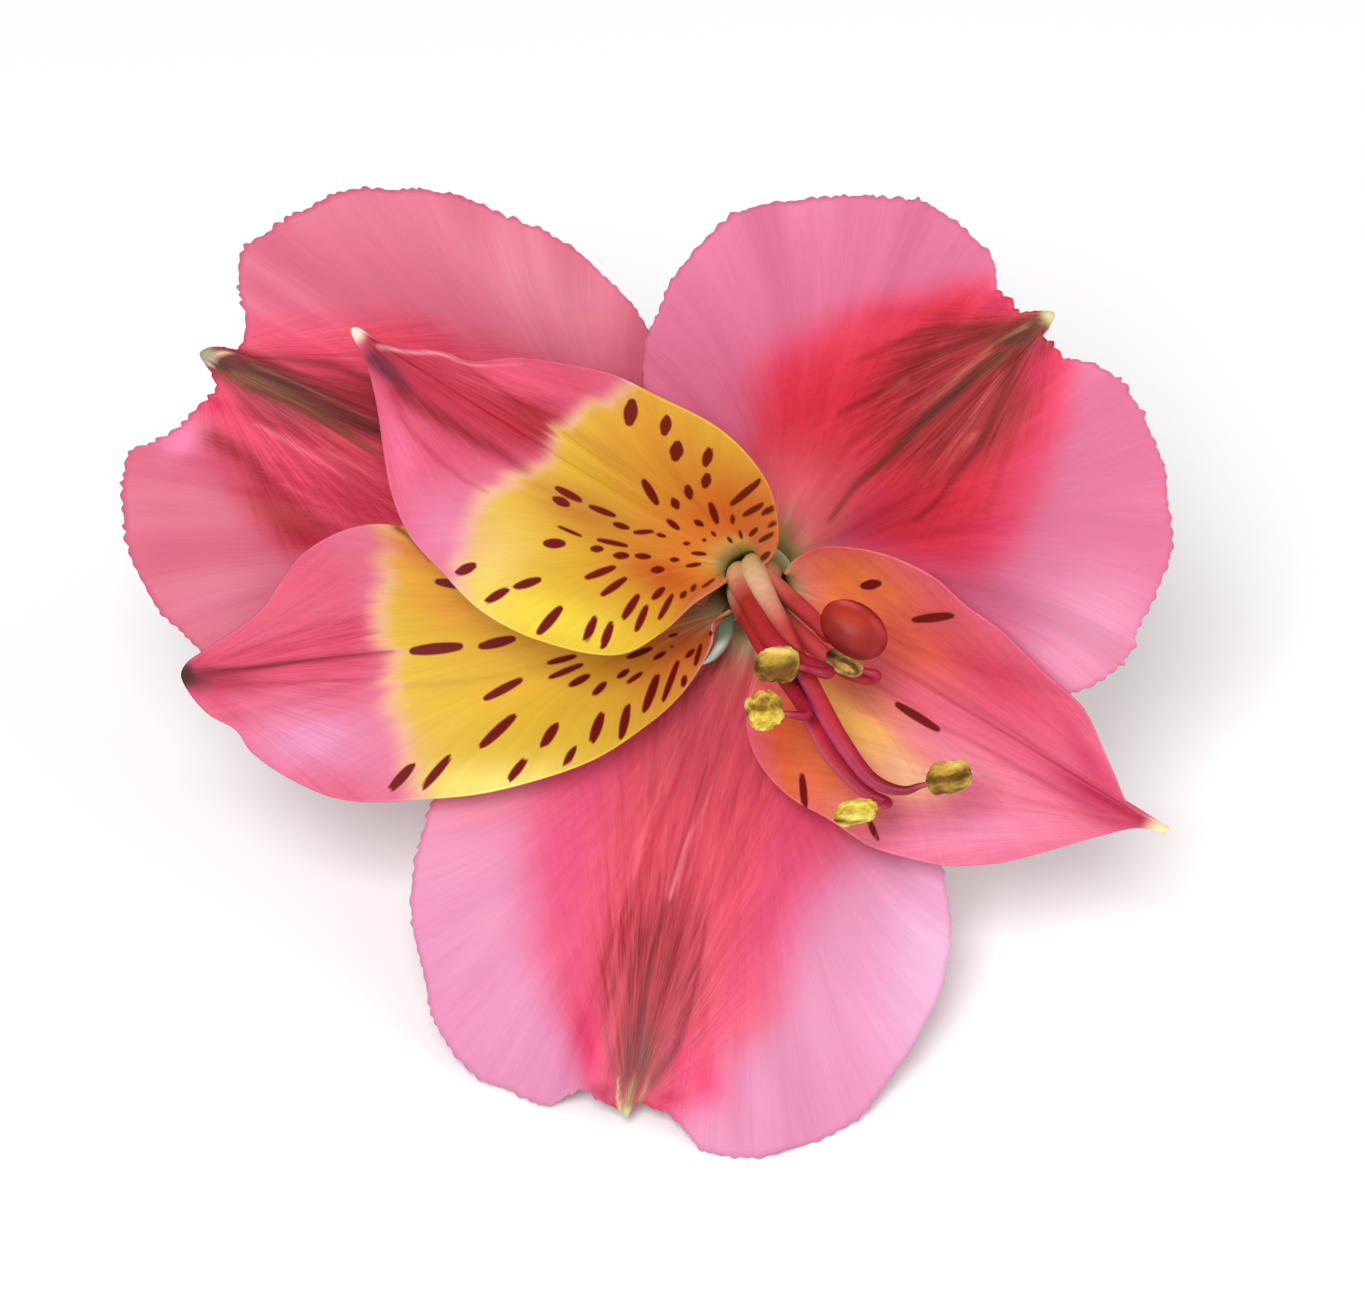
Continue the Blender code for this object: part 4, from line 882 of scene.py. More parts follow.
innerUpper = {
    "whorl": "inner", "slot": "inner_tepal", "claw": 117, "tipSlope": 12, "sideSlope": 30, "rise": 0.42,
    "tip": (-28.4, 17.3, 5.0),
    "counter": [
        (-27.3, 14.8, 4.8), (-26.7, 12.2, 4.2), (-26.1, 8.5, 3.5), (-25.4, 4.8, 3.5), (-24.1, 1.9, 3.5),
        (-22.1, -0.4, 3.0), (-19.1, -3.3, 3.0), (-16.1, -5.0, 2.5), (-13.2, -5.9, 2.0), (-8.7, -6.5, 0.0),
        (-5.8, -5.0, -2.5), (-3.4, -2.8, -6.5), (-1.2, -1.3, -11.0), (-0.6, -0.5, -16.0)],
    "clockwise": [
        (-26.7, 16.4, 4.8), (-24.3, 15.9, 4.3), (-22.1, 15.8, 4.0), (-19.9, 15.0, 4.0), (-16.1, 15.0, 4.0),
        (-10.2, 14.1, 4.0), (-6.5, 12.4, 3.5), (-1.3, 9.8, 2.0), (2.0, 6.3, -1.0), (3.0, 2.6, -5.5),
        (2.6, 0.8, -10.0), (1.6, 0.1, -14.0)],
    "finer": 11, "rows": 160, "thickness": 0.5,
    "relief": {"groove": 0.05, "grooves": 11, "keel": 0.1, "ruffle": 0.35, "pitch": 4.5, "seed": 13},
    "base": (216, 80, 114), "backTone": (226, 128, 140), "backShare": 0.35, "streaks": 0.14,
    "zones": [
        {
            "colour": (176, 26, 46), "streaks": 0.5, "soft": 1.3, "fray": 0.6, "strength": 0.9,
            "begins": [(-2, 0.4), (3, 0.5)], "mottle": 0.05,
            "stations": [
                (0.4, 0.6, 3.2), (0.6, 0.8, 3.4), (0.8, 0.7, 2.2), (0.92, 0.6, 1.1), (1.0, 0.4, 0.4)]},
        {
            "colour": (222, 112, 146), "soft": 1, "softAlong": 0.07, "frayAlong": 0.01,
            "stations": [(0, 99, 99)],
            "ends": [(-12, 0.68), (-8, 0.7), (-5, 0.66), (-2, 0.55), (1, 0.5), (3, 0.5), (9, 0.47)]},
        {
            "colour": (238, 188, 150), "soft": 1, "softAlong": 0.026, "frayAlong": 0.022,
            "stations": [(0, 99, 99)],
            "ends": [
                (-12, 0.535), (-8.2, 0.585), (-5.1, 0.592), (-2, 0.538), (0, 0.5), (1.9, 0.528),
                (6.3, 0.47), (9, 0.44)]},
        {
            "colour": (230, 192, 60), "soft": 1, "softAlong": 0.022, "frayAlong": 0.026,
            "stations": [(0, 99, 99)],
            "ends": [
                (-12, 0.5), (-8.2, 0.553), (-5.1, 0.56), (-2, 0.512), (0, 0.482), (1.9, 0.512),
                (6.3, 0.445), (9, 0.415)],
            "washes": [
                (-5.5, 9.0, 7.5, 3.6, -45, (230, 164, 52), 1.0),
                (-9.5, 8.2, 2.2, 1.0, -45, (222, 158, 58), 0.7),
                (-2.5, 1.5, 6.5, 5.5, 0, (236, 144, 52), 0.95),
                (-18.5, -1.5, 2.5, 5.0, -20, (248, 222, 140), 0.6),
                (-13.0, -4.2, 6.0, 2.0, -18, (252, 230, 72), 0.9),
                (-11.7, 4.1, 4.6, 1.8, -26, (204, 138, 46), 0.95),
                (-5.6, -0.8, 3.4, 1.5, -20, (206, 104, 42), 0.85),
                (1.5, 3.5, 3.0, 4.0, 0, (230, 122, 60), 0.7), (-1.2, 3.6, 3.0, 2.0, 0, (236, 124, 44), 0.7),
            ],
        },
    ],
    "washes": [
        (-25.6, 14.1, 1.7, 0.75, -45, (112, 16, 46), 0.95),
        (-21.0, 12.0, 5.0, 2.0, -30, (200, 44, 72), 0.85), (-16.0, 13.6, 5.0, 1.2, -4, (226, 84, 114), 0.8),
        (-24.8, 8.0, 1.6, 4.0, 10, (236, 112, 152), 0.7), (-21.5, 2.5, 2.4, 2.0, -45, (238, 146, 184), 0.6),
        (-0.9, 0.5, 1.6, 1.3, 0, (255, 206, 96), 0.95), (-0.1, 0.55, 0.7, 0.65, 0, (206, 204, 84), 0.95),
        (0.7, 0.7, 0.35, 1.0, 12, (255, 240, 170), 1.0), (-0.1, 1.7, 0.9, 0.4, 10, (255, 226, 130), 1.0),
        (1.8, 0.9, 1.2, 1.6, 0, (236, 136, 104), 0.85), (0.8, -0.4, 1.4, 0.5, -15, (232, 156, 116), 0.9),
        (-0.2, -0.6, 1.6, 0.45, 12, (236, 160, 110), 0.8)],
    "veinsAndFoldShade": [
        ((150, 14, 38), 1.25, 1.0, [
            (-24.9, 13.0), (-23.2, 11.8), (-19.8, 9.6), (-17.6, 8.4), (-15.6, 7.0)]),
        ((190, 40, 74), 0.42, 0.75, [
            (-25.6, 12.6), (-24.4, 10.2), (-22.5, 8.1), (-20.4, 6.4), (-18.6, 5.4)]),
        ((186, 36, 62), 0.8, 0.75, [(-23.6, 13.4), (-20.0, 12.6), (-17.0, 11.0), (-14.2, 9.4)]),
        ((206, 150, 56), 0.4, 0.6, [(-15.0, 6.0), (-11.0, 4.2), (-8.0, 3.3), (-4.0, 2.0)]),
        ((206, 146, 52), 0.4, 0.55, [(-12.0, 9.8), (-9.0, 7.8), (-5.8, 5.6), (-3.0, 3.8)]),
        ((240, 150, 120), 0.3, 0.9, [(-1.2, -1.25), (-3.4, -2.75), (-5.0, -4.3)]),
        ((96, 10, 40), 1.0, 1.0, [(-27.0, 15.3), (-26.0, 14.4), (-25.0, 13.5), (-24.2, 12.8)]),
        ((246, 160, 170), 0.22, 0.7, [
            (-26.6, 16.2), (-24.3, 15.75), (-22.1, 15.65), (-19.9, 14.85), (-16.1, 14.85)])],
    "nib": {"colour": (246, 226, 200), "reach": 1.5},
    # The claw's cream, painted brighter than its own colour as painted light in the shaded throat
    "clawPaintAndLight": {"colour": (255, 246, 170), "from": -12.5, "to": -16.0},
    "dashes": [
        (-7.8, 12.4, -8.1, 10.2, 0.81), (-5.2, 11.2, -5.5, 9.5, 0.67), (-4.4, 9.3, -4.7, 7.6, 0.81),
        (-2.0, 8.8, -2.5, 7.2, 0.59), (-2.2, 6.9, -2.5, 5.6, 0.59), (-7.1, 6.4, -5.9, 4.4, 0.52),
        (-3.8, 6.0, -3.5, 4.8, 0.52), (-4.9, 5.0, -4.4, 4.1, 0.52), (-2.1, 4.7, -1.5, 3.0, 0.44),
        (1.8, 6.4, -0.6, 4.4, 0.44), (2.0, 4.6, 0.3, 3.6, 0.37), (2.9, 4.4, 1.7, 3.7, 0.37),
        (-0.4, 3.8, -0.4, 3.0, 0.3), (3.0, 3.3, 2.1, 2.8, 0.3), (-5.3, 3.4, -4.3, 2.6, 0.37),
        (-3.3, 3.3, -2.5, 2.9, 0.37), (1.5, 2.8, 0.8, 2.1, 0.3), (2.7, 2.4, 1.5, 1.7, 0.3),
        (-13.6, 5.8, -11.5, 4.7, 0.44), (-13.8, 5.0, -12.4, 4.4, 0.52), (-11.1, 4.4, -9.0, 3.6, 0.37),
        (-9.3, 3.1, -8.0, 2.7, 0.37), (-7.8, 2.4, -6.2, 2.5, 0.3), (-6.1, 2.3, -5.3, 2.1, 0.26),
        (-13.4, 2.9, -11.5, 2.1, 0.22), (-14.5, 1.6, -12.7, 1.6, 0.59), (-10.5, 1.9, -8.1, 1.4, 0.3),
        (-11.0, 1.2, -9.9, 1.2, 0.44), (-9.3, 0.7, -8.0, 0.7, 0.44), (-7.7, 0.7, -6.4, 0.6, 0.37),
        (-4.1, 1.6, -3.5, 1.6, 0.26), (-2.7, 1.8, -2.3, 1.9, 0.22), (-2.0, 2.5, -1.6, 2.1, 0.22),
        (-0.8, 2.1, -0.4, 1.6, 0.22), (0.1, 2.6, 0.3, 1.9, 0.22), (-5.1, 0.4, -4.3, 0.4, 0.3),
        (-3.5, 0.9, -2.3, 0.8, 0.26), (-6.5, -0.4, -5.4, -0.3, 0.44), (-3.9, -0.1, -2.7, 0.1, 0.26),
        (-11.4, -1.0, -9.0, -0.1, 0.44), (-10.2, -2.3, -8.2, -0.9, 0.44), (-21.0, -0.7, -19.3, 0.1, 0.59),
        (-18.8, -2.8, -16.9, -1.7, 0.52), (-16.7, -1.7, -14.5, -1.0, 0.52),
        (-14.9, -5.2, -13.0, -3.0, 0.59), (-11.4, -5.8, -10.5, -3.7, 0.52), (-10.1, -6.3, -9.3, -4.1, 0.52),
        (-8.6, -4.1, -7.3, -2.1, 0.48), (-7.6, -5.0, -6.7, -2.9, 0.44), (-6.4, -2.6, -5.4, -1.6, 0.44),
        (-5.9, -4.1, -4.8, -2.1, 0.37), (-4.3, -2.5, -3.8, -1.9, 0.37), (-3.5, -2.0, -3.1, -1.4, 0.3),
        (-2.7, -1.7, -1.7, -1.0, 0.22), (1.6, 0.3, 2.4, 1.0, 0.37)],
}
makeTepal("inner_tepal_upper", innerUpper)

# The last seven dashes lie under the upper inner tepal
innerLeft = {
    "whorl": "inner", "slot": "inner_tepal", "claw": 225, "tipSlope": 8, "sideSlope": 25, "rise": 0.4,
    "tip": (-41.3, -8.1, -1.0),
    "counter": [
        (-40.9, -9.2, -1.2), (-39.5, -10.9, -1.5), (-37.3, -12.2, -1.5), (-36.1, -13.9, -1.5),
        (-32.4, -16.3, -1.5), (-29.1, -17.4, -1.5), (-22.1, -17.3, -2.0), (-14.7, -15.9, -2.5),
        (-8.7, -13.3, -4.0), (-4.3, -9.6, -7.5), (-2.8, -7.5, -9.8), (-2.0, -5.8, -11.6),
        (-1.9, -4.3, -13.6), (-0.6, -3.2, -17.5)],
    "clockwise": [
        (-40.9, -7.3, -1.0), (-39.5, -6.3, -1.0), (-35.4, -3.3, -1.0), (-34.1, -1.5, -1.0),
        (-32.4, 0.7, -0.5), (-29.1, 2.6, 0.0), (-26.1, 3.1, -0.5), (-20.0, 1.5, -2.5), (-13.0, -0.5, -6.0),
        (-7.0, -1.9, -11.0), (-2.4, -3.0, -18.5)],
    "finer": 12, "rows": 160, "thickness": 0.5,
    "relief": {"groove": 0.05, "grooves": 11, "keel": 0.1, "ruffle": 0.3, "pitch": 4.5, "seed": 15},
    "base": (220, 92, 124), "backTone": (226, 128, 140), "backShare": 0.35, "streaks": 0.16,
    "zones": [
        {
            "colour": (214, 66, 100), "streaks": 0.45, "soft": 1.5, "fray": 0.9, "strength": 0.8,
            "begins": [(-2, 0.6), (3, 0.6)], "softAlong": 0.08, "mottle": 0.05,
            "stations": [
                (0.5, 2.0, 2.0), (0.7, 2.2, 2.2), (0.85, 2.2, 1.6), (0.95, 1.6, 1.2), (1.0, 1.2, 1.2)]},
        {
            "colour": (226, 118, 148), "soft": 1, "softAlong": 0.06, "frayAlong": 0.01,
            "stations": [(0, 99, 99)],
            "ends": [(-12, 0.71), (-6, 0.72), (-2, 0.66), (2, 0.65), (6, 0.69), (9, 0.7)]},
        {
            "colour": (238, 186, 140), "soft": 1, "softAlong": 0.024, "frayAlong": 0.02,
            "stations": [(0, 99, 99)],
            "ends": [
                (-12, 0.632), (-11, 0.637), (-7.7, 0.656), (-4.8, 0.662), (-0.7, 0.642), (1.65, 0.664),
                (5.6, 0.63), (9, 0.625)]},
        {
            "colour": (228, 192, 60), "soft": 1, "softAlong": 0.02, "frayAlong": 0.022,
            "stations": [(0, 99, 99)],
            "ends": [
                (-12, 0.6), (-11, 0.605), (-7.7, 0.626), (-4.8, 0.634), (-0.7, 0.616), (1.65, 0.636),
                (5.6, 0.6), (9, 0.595)],
            "washes": [
                # The first wash deepens the yellow to gold along the upper inner tepal's rim: painted shadow of
                # that tepal
                (-21.0, -2.5, 6.0, 2.8, -25, (232, 166, 58), 1.0),
                (-4.0, -5.5, 5.6, 5.0, 45, (226, 118, 56), 1.0),
                (-12.0, -6.0, 5.0, 3.0, 0, (238, 180, 56), 0.7),
                (-18.0, -16.5, 7.0, 1.8, 4, (255, 242, 134), 0.85),
                (-15.0, -9.4, 5.0, 1.2, 10, (246, 196, 60), 0.5),
                # These two brown washes are painted shade in the claw's hollow under the upper inner tepal's rim
                (-3.0, -3.6, 1.8, 1.0, 0, (116, 58, 20), 0.85),
                (-1.6, -2.2, 1.6, 0.8, 20, (84, 50, 18), 0.9),
                (-3.2, -5.6, 1.6, 1.2, 30, (178, 84, 36), 0.6)]}],
    "washes": [
        (-40.2, -8.5, 1.9, 0.95, -6, (70, 4, 22), 1.0), (-37.6, -8.6, 2.2, 0.8, -6, (158, 22, 56), 0.8),
        (-38.0, -10.4, 2.0, 0.8, -40, (206, 40, 90), 0.6), (-31.0, -1.6, 5.0, 1.6, 30, (222, 88, 112), 0.6),
        (-31.0, -13.2, 5.4, 2.6, -6, (226, 142, 182), 0.95),
        (-24.6, 1.2, 2.2, 0.7, -30, (226, 120, 60), 0.8)],
    "veinsAndFoldShade": [
        ((140, 14, 46), 0.42, 0.9, [
            (-39.6, -7.9), (-36.5, -7.7), (-33.0, -7.2), (-29.5, -6.8), (-25.5, -6.4)]),
        ((186, 44, 78), 0.36, 0.7, [(-38.6, -8.8), (-35.0, -8.8), (-31.0, -8.6), (-27.0, -8.4)]),
        ((204, 66, 96), 0.34, 0.6, [(-38.4, -7.2), (-34.5, -5.6), (-30.5, -4.4), (-27.0, -3.8)]),
        ((214, 164, 60), 0.4, 0.5, [(-24.5, -9.0), (-20.0, -8.6), (-15.0, -7.6), (-10.0, -6.4)]),
        ((130, 14, 18), 0.32, 0.9, [(-25.4, 2.9), (-24.6, 2.3), (-23.6, 1.2), (-22.8, 0.2)]),
        ((232, 152, 132), 0.2, 0.95, [(-1.95, -4.4), (-2.0, -5.8), (-2.75, -7.4), (-4.1, -9.3)]),
        ((226, 140, 110), 0.16, 0.95, [(-3.6, -2.8), (-2.9, -3.2), (-2.3, -3.8), (-2.1, -4.5)])],
    "nib": {"colour": (66, 4, 22), "reach": 1.3},
    "clawPaintAndLight": {"colour": (226, 190, 140), "from": -11.0, "to": -16.0},
    "dashes": [
        (-24.4, -6.4, -20.3, -6.0, 0.67), (-19.3, -6.1, -16.4, -5.4, 0.59),
        (-18.9, -10.0, -15.9, -8.4, 0.52), (-14.2, -7.3, -11.9, -6.7, 0.37),
        (-14.1, -8.4, -11.4, -7.3, 0.37), (-12.6, -9.0, -10.9, -8.1, 0.44), (-10.8, -9.7, -9.7, -8.6, 0.44),
        (-19.2, -13.6, -16.4, -11.0, 0.59), (-14.6, -13.6, -13.3, -11.6, 0.59),
        (-17.1, -16.1, -15.6, -14.2, 0.52), (-25.9, -16.8, -23.9, -14.6, 0.59),
        (-23.5, -16.7, -21.2, -14.0, 0.52), (-10.9, -13.3, -10.0, -10.8, 0.59),
        (-12.9, -15.0, -12.0, -13.3, 0.44), (-8.7, -13.0, -8.1, -10.2, 0.52),
        (-7.0, -11.0, -5.9, -8.0, 0.52), (-5.6, -10.2, -4.4, -7.0, 0.37), (-4.1, -9.1, -3.9, -8.1, 0.37),
        (-3.2, -7.5, -2.7, -5.8, 0.3), (-8.3, -6.9, -6.3, -6.1, 0.37), (-9.0, -8.4, -8.0, -7.7, 0.37),
        (-8.3, -8.8, -7.0, -7.9, 0.3), (-7.6, -5.6, -6.7, -5.4, 0.3), (-6.3, -7.0, -5.3, -6.4, 0.3),
        (-5.2, -5.3, -4.4, -5.1, 0.22), (-5.0, -6.2, -4.8, -5.9, 0.22), (-3.9, -6.9, -3.2, -6.2, 0.3),
        (-2.1, -5.3, -1.9, -4.8, 0.22), (-22.5, -1.2, -19.6, -1.6, 0.55), (-18.6, -0.2, -16.3, -0.9, 0.5),
        (-16.9, -2.8, -14.4, -3.2, 0.44), (-13.2, -3.4, -11.3, -3.9, 0.4), (-12.6, -1.3, -10.6, -1.9, 0.4),
        (-10.0, -3.6, -8.4, -4.0, 0.34), (-9.0, -2.3, -7.6, -2.8, 0.34)],
}
makeTepal("inner_tepal_left", innerLeft)

innerLower = {
    "whorl": "inner", "slot": "inner_tepal_lower", "claw": 338, "tipSlope": 14, "sideSlope": 30,
    "rise": 0.4, "tip": (31.8, -19.7, 1.0),
    "counter": [
        (29.0, -18.0, 0.8), (27.6, -15.2, 0.6), (25.7, -11.1, 0.5), (23.9, -9.3, 0.5), (19.4, -4.8, 0.0),
        (15.7, -1.9, -1.0), (12.0, 0.4, -2.5), (8.3, 1.3, -5.0), (6.1, 1.3, -8.0), (4.2, 0.3, -12.0),
        (3.8, -0.6, -17.0)],
    "clockwise": [
        (29.7, -19.4, 0.8), (26.8, -20.0, 0.3), (23.1, -21.1, -0.5), (18.3, -22.2, -1.0),
        (15.0, -22.3, -1.5), (10.5, -21.0, -2.0), (6.1, -18.5, -3.0), (2.7, -15.9, -4.5),
        (0.9, -13.0, -6.5), (0.8, -10.2, -9.0), (1.5, -7.6, -11.5), (1.3, -5.6, -14.0), (0.8, -4.2, -17.0)],
    "finer": 11, "rows": 150, "thickness": 0.5,
    "relief": {"groove": 0.04, "grooves": 13, "keel": 0.1, "ruffle": 0.4, "pitch": 3.5, "seed": 17},
    "base": (233, 106, 138), "backTone": (226, 124, 140), "backShare": 0.35, "streaks": 0.16, "zones": [],
    "washes": [
        # The orange at (9.4, -2.4) and the gold at (8.9, -11.8) are partly the tepal's own colour and partly
        # painted light, brighter than that colour where the blade tilts away into shade
        (6.0, -3.5, 6.0, 7.0, -30, (250, 112, 104), 1.0), (9.4, -2.4, 4.8, 2.6, -25, (255, 150, 76), 1.2),
        (13.0, -5.6, 5.0, 2.4, -35, (238, 108, 84), 1.0), (4.2, -14.0, 2.2, 5.4, 14, (232, 106, 60), 1.3),
        (6.6, -15.6, 3.4, 2.0, -45, (236, 122, 76), 1.1), (8.0, -18.2, 3.0, 1.6, -15, (232, 128, 100), 0.8),
        (8.9, -11.8, 5.2, 1.7, -46, (255, 200, 106), 1.3),
        # The darker orange at (8.6, -9.4) is painted shadow under the stamens
        (12.6, -15.4, 2.8, 1.6, -30, (244, 186, 142), 1.1), (8.6, -9.4, 2.2, 0.9, -30, (206, 96, 56), 0.6),
        (10.6, -10.6, 3.0, 1.0, -34, (228, 138, 106), 0.9),
        (17.5, -20.0, 6.5, 2.0, 5, (240, 146, 182), 0.8), (28.0, -18.6, 2.8, 1.0, -14, (180, 30, 92), 0.95),
        (26.0, -14.5, 4.0, 0.9, -58, (206, 48, 96), 0.7),
        (17.0, -14.6, 5.0, 1.2, -30, (238, 148, 162), 0.7),
        (19.5, -8.6, 6.0, 2.2, -38, (218, 64, 94), 0.85), (15.5, -3.6, 3.0, 1.4, -42, (228, 90, 104), 0.6),
        (26.4, -17.0, 4.0, 1.5, -28, (198, 40, 88), 0.85), (4.8, -1.0, 1.5, 1.8, 0, (255, 150, 134), 0.95),
        (3.0, -0.8, 1.1, 1.5, 0, (250, 238, 170), 1.0), (2.2, -1.6, 1.6, 0.9, -50, (228, 206, 160), 0.9),
        (2.9, -0.55, 0.3, 0.6, -5, (150, 146, 52), 0.8)],
    "veinsAndFoldShade": [
        ((196, 58, 92), 0.34, 0.8, [
            (30.0, -18.9), (25.5, -17.4), (21.5, -15.4), (18.0, -13.4), (14.0, -11.6)]),
        ((204, 70, 96), 0.3, 0.6, [
            (29.4, -18.4), (25.0, -15.6), (20.0, -12.0), (16.0, -9.4), (11.0, -6.4)]),
        ((210, 80, 96), 0.26, 0.5, [(29.4, -18.9), (24.0, -18.0), (19.0, -16.6), (15.0, -15.2)]),
        ((206, 84, 70), 0.26, 0.6, [(8.0, -8.0), (10.0, -8.8), (12.6, -10.2), (15.4, -12.0)]),
        ((222, 90, 80), 0.3, 0.5, [(9.6, -5.6), (13.0, -7.4), (17.5, -10.0)]),
        ((244, 190, 160), 0.16, 0.9, [(1.35, -5.4), (1.55, -7.4), (0.95, -9.8)]),
        ((236, 104, 120), 0.3, 0.7, [(4.6, 0.75), (6.2, 1.2), (8.2, 1.2), (10.4, 0.7)])],
    "nib": {"colour": (248, 232, 180), "reach": 2.2},
    # The claw's cream, painted brighter than its own colour as painted light in the shaded throat
    "clawPaintAndLight": {"colour": (255, 244, 196), "from": -12.0, "to": -16.0},
    "dashes": [
        (9.0, -1.6, 10.7, -1.3, 0.59), (12.8, -4.1, 16.1, -3.7, 0.52), (11.6, -10.2, 15.0, -12.3, 0.52),
        (4.7, -15.3, 5.0, -18.3, 0.44), (9.6, -18.7, 10.4, -20.5, 0.37)],
}
makeTepal("inner_tepal_lower", innerLower)

print("stamens")


# Paint from the piece's points, broken up by a fine noise that also raises the skin
def fleckedFinish(name, roughness, specular, scale, tones, bump, depth):
    finish, tree, shader = newFinish(name, roughness, specular)
    paint = addNode(tree, "ShaderNodeAttribute", attribute_name="tint")
    coordinates = tree.nodes.new("ShaderNodeTexCoord")
    settings = {"Detail": 4.0, "Roughness": 0.65}
    fleck = addNoise(tree, coordinates.outputs["Object"], scale, settings, flat=False)
    colour = mixColours(tree, "MULTIPLY", 1.0, paint.outputs["Color"], ramp(tree, fleck, tones))
    tree.links.new(colour, shader.inputs["Base Color"])
    bumpFrom(tree, fleck, shader, bump, depth * mm)
    return finish


white = (1.0, 1.0, 1.0)
filamentFinish = fleckedFinish(
    "filamentSkin", 0.5, 0.3, (1300, 1300, 1300), [(0.3, (0.84, 0.80, 0.82)), (0.66, white)], 0.15, 0.05)
pollenFinish = fleckedFinish(
    "pollenSkin", 0.8, 0.22, (3600, 3600, 3600), [(0.34, (0.80, 0.76, 0.66)), (0.62, white)], 0.5, 0.12)
budFinish = fleckedFinish(
    "budSkin", 0.5, 0.3, (900, 900, 900), [(0.3, (0.90, 0.86, 0.86)), (0.7, white)], 0.08, 0.06)
stalkFinish = fleckedFinish(
    "stalkSkin", 0.42, 0.45, (1500, 500, 1500), [(0.3, (0.78, 0.84, 0.70)), (0.7, white)], 0.2, 0.08)


# The share of the line's length that each point is nearest to, and how far across the line it is in view
def placeOnLine(points, line):
    best = np.full(len(points), 1e9)
    share, across = np.zeros(len(points)), np.zeros(len(points))
    arc = lengthAlong(line) / lengthAlong(line)[-1]
    for number, (start, end) in enumerate(zip(line, line[1:])):
        place, offset = nearestOn(points, start, end)
        gap = np.linalg.norm(offset, axis=1)
        closer = gap < best
        best = np.where(closer, gap, best)
        share = np.where(closer, arc[number] + place * (arc[number + 1] - arc[number]), share)
        right = np.cross(end - start, np.array(outward))
        across = np.where(closer, offset @ (right / max(np.linalg.norm(right), 1e-9)), across)
    return share, across / np.maximum(best, 1e-9)


def byShare(share, stops):
    places = [place for place, _ in stops]
    tones = np.array([screenColour(*tone) for _, tone in stops])
    return np.stack([np.interp(share, places, channel) for channel in tones.T], 1)


# A smooth tube along a line in the scene, as thick at each share of its length as the profile says
def makeTube(name, line, profile, bevel=5):
    arc = lengthAlong(line) / lengthAlong(line)[-1]
    curve = bpy.data.curves.new(name, "CURVE")
    curve.dimensions = "3D"
    curve.bevel_depth = mm
    curve.bevel_resolution = bevel
    curve.use_fill_caps = True
    spline = curve.splines.new("POLY")
    spline.points.add(len(line) - 1)
    for point, place, share in zip(spline.points, line, arc):
        point.co = (*place, 1)
        point.radius = float(np.interp(share, *np.array(profile).T))
    piece = bpy.data.objects.new(name, curve)
    bpy.context.scene.collection.objects.link(piece)
    selectOnly(piece)
    bpy.ops.object.convert(target="MESH")
    piece = bpy.context.object
    piece.name = piece.data.name = name
    turnOutwards(merge=1e-6)
    return piece


def finishPiece(piece, colour, finish):
    paintPoints(piece.data, colour)
    piece.data.materials.clear()
    piece.data.materials.append(finish)
    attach(piece, "root")


# Each strand: its line up the throat and out over the bloom, its colours by the share of its length, and
# the colour of its right side. It is painted darker along its sides as the camera sees them, a painted shade.
def makeStrand(name, strand):
    line = intoScene(drawnForward(smoothLine(strand["line"], curveSteps)))
    piece = makeTube(name, line, strand.get("profile", filamentProfile))
    share, across = placeOnLine(meshPoints(piece.data), line)
    colour = byShare(share, strand["stops"])
    # Painted shade: the strand darkens towards its sides as seen from the camera
    paintedEdgeShade = smoothStep(0.5, 1.0, np.abs(across)) * smoothStep(0.45, 0.6, share)
    colour = colour * (1 - 0.22 * paintedEdgeShade[:, None])
    if "rightSide" in strand:
        beside = smoothStep(0.1, 0.7, across) * smoothStep(0.55, 0.68, share) * smoothStep(0.98, 0.9, share)
        colour = between(colour, screenColour(*strand["rightSide"]), beside * 0.65)
    finishPiece(piece, colour, filamentFinish)
    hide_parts(name)


filamentProfile = [
    (0, 0.8), (0.28, 1.0), (0.42, 0.98), (0.52, 0.82), (0.64, 0.72), (0.8, 0.66), (0.91, 0.54),
    (0.96, 0.34), (1, 0.14),
]
# Each strand starts in the throat as a near-white cream: partly its own pale base, partly painted light that
# brightens the shaded throat
redSooner = [
    (0.0, (255, 250, 205)), (0.36, (248, 232, 186)), (0.48, (240, 196, 164)), (0.54, (216, 116, 96)),
    (0.59, (186, 46, 44)), (0.66, (198, 46, 54)), (0.8, (190, 36, 58)), (0.9, (170, 22, 52)),
    (0.97, (164, 22, 54)), (1.0, (206, 96, 110)),
]
redLater = [
    (0.0, (255, 250, 205)), (0.3, (226, 226, 130)), (0.42, (252, 240, 190)), (0.5, (248, 212, 176)),
    (0.56, (236, 160, 134)), (0.61, (212, 80, 74)), (0.78, (200, 44, 60)), (0.86, (180, 30, 54)),
    (0.93, (142, 14, 38)), (0.97, (150, 18, 42)), (1.0, (206, 96, 100)),
]
coralSooner = [
    (0.0, (255, 250, 205)), (0.28, (222, 226, 120)), (0.4, (252, 240, 180)), (0.5, (240, 196, 150)),
    (0.6, (230, 134, 112)), (0.72, (218, 80, 76)), (0.9, (206, 56, 70)), (0.95, (184, 34, 70)),
    (1.0, (200, 60, 90)),
]
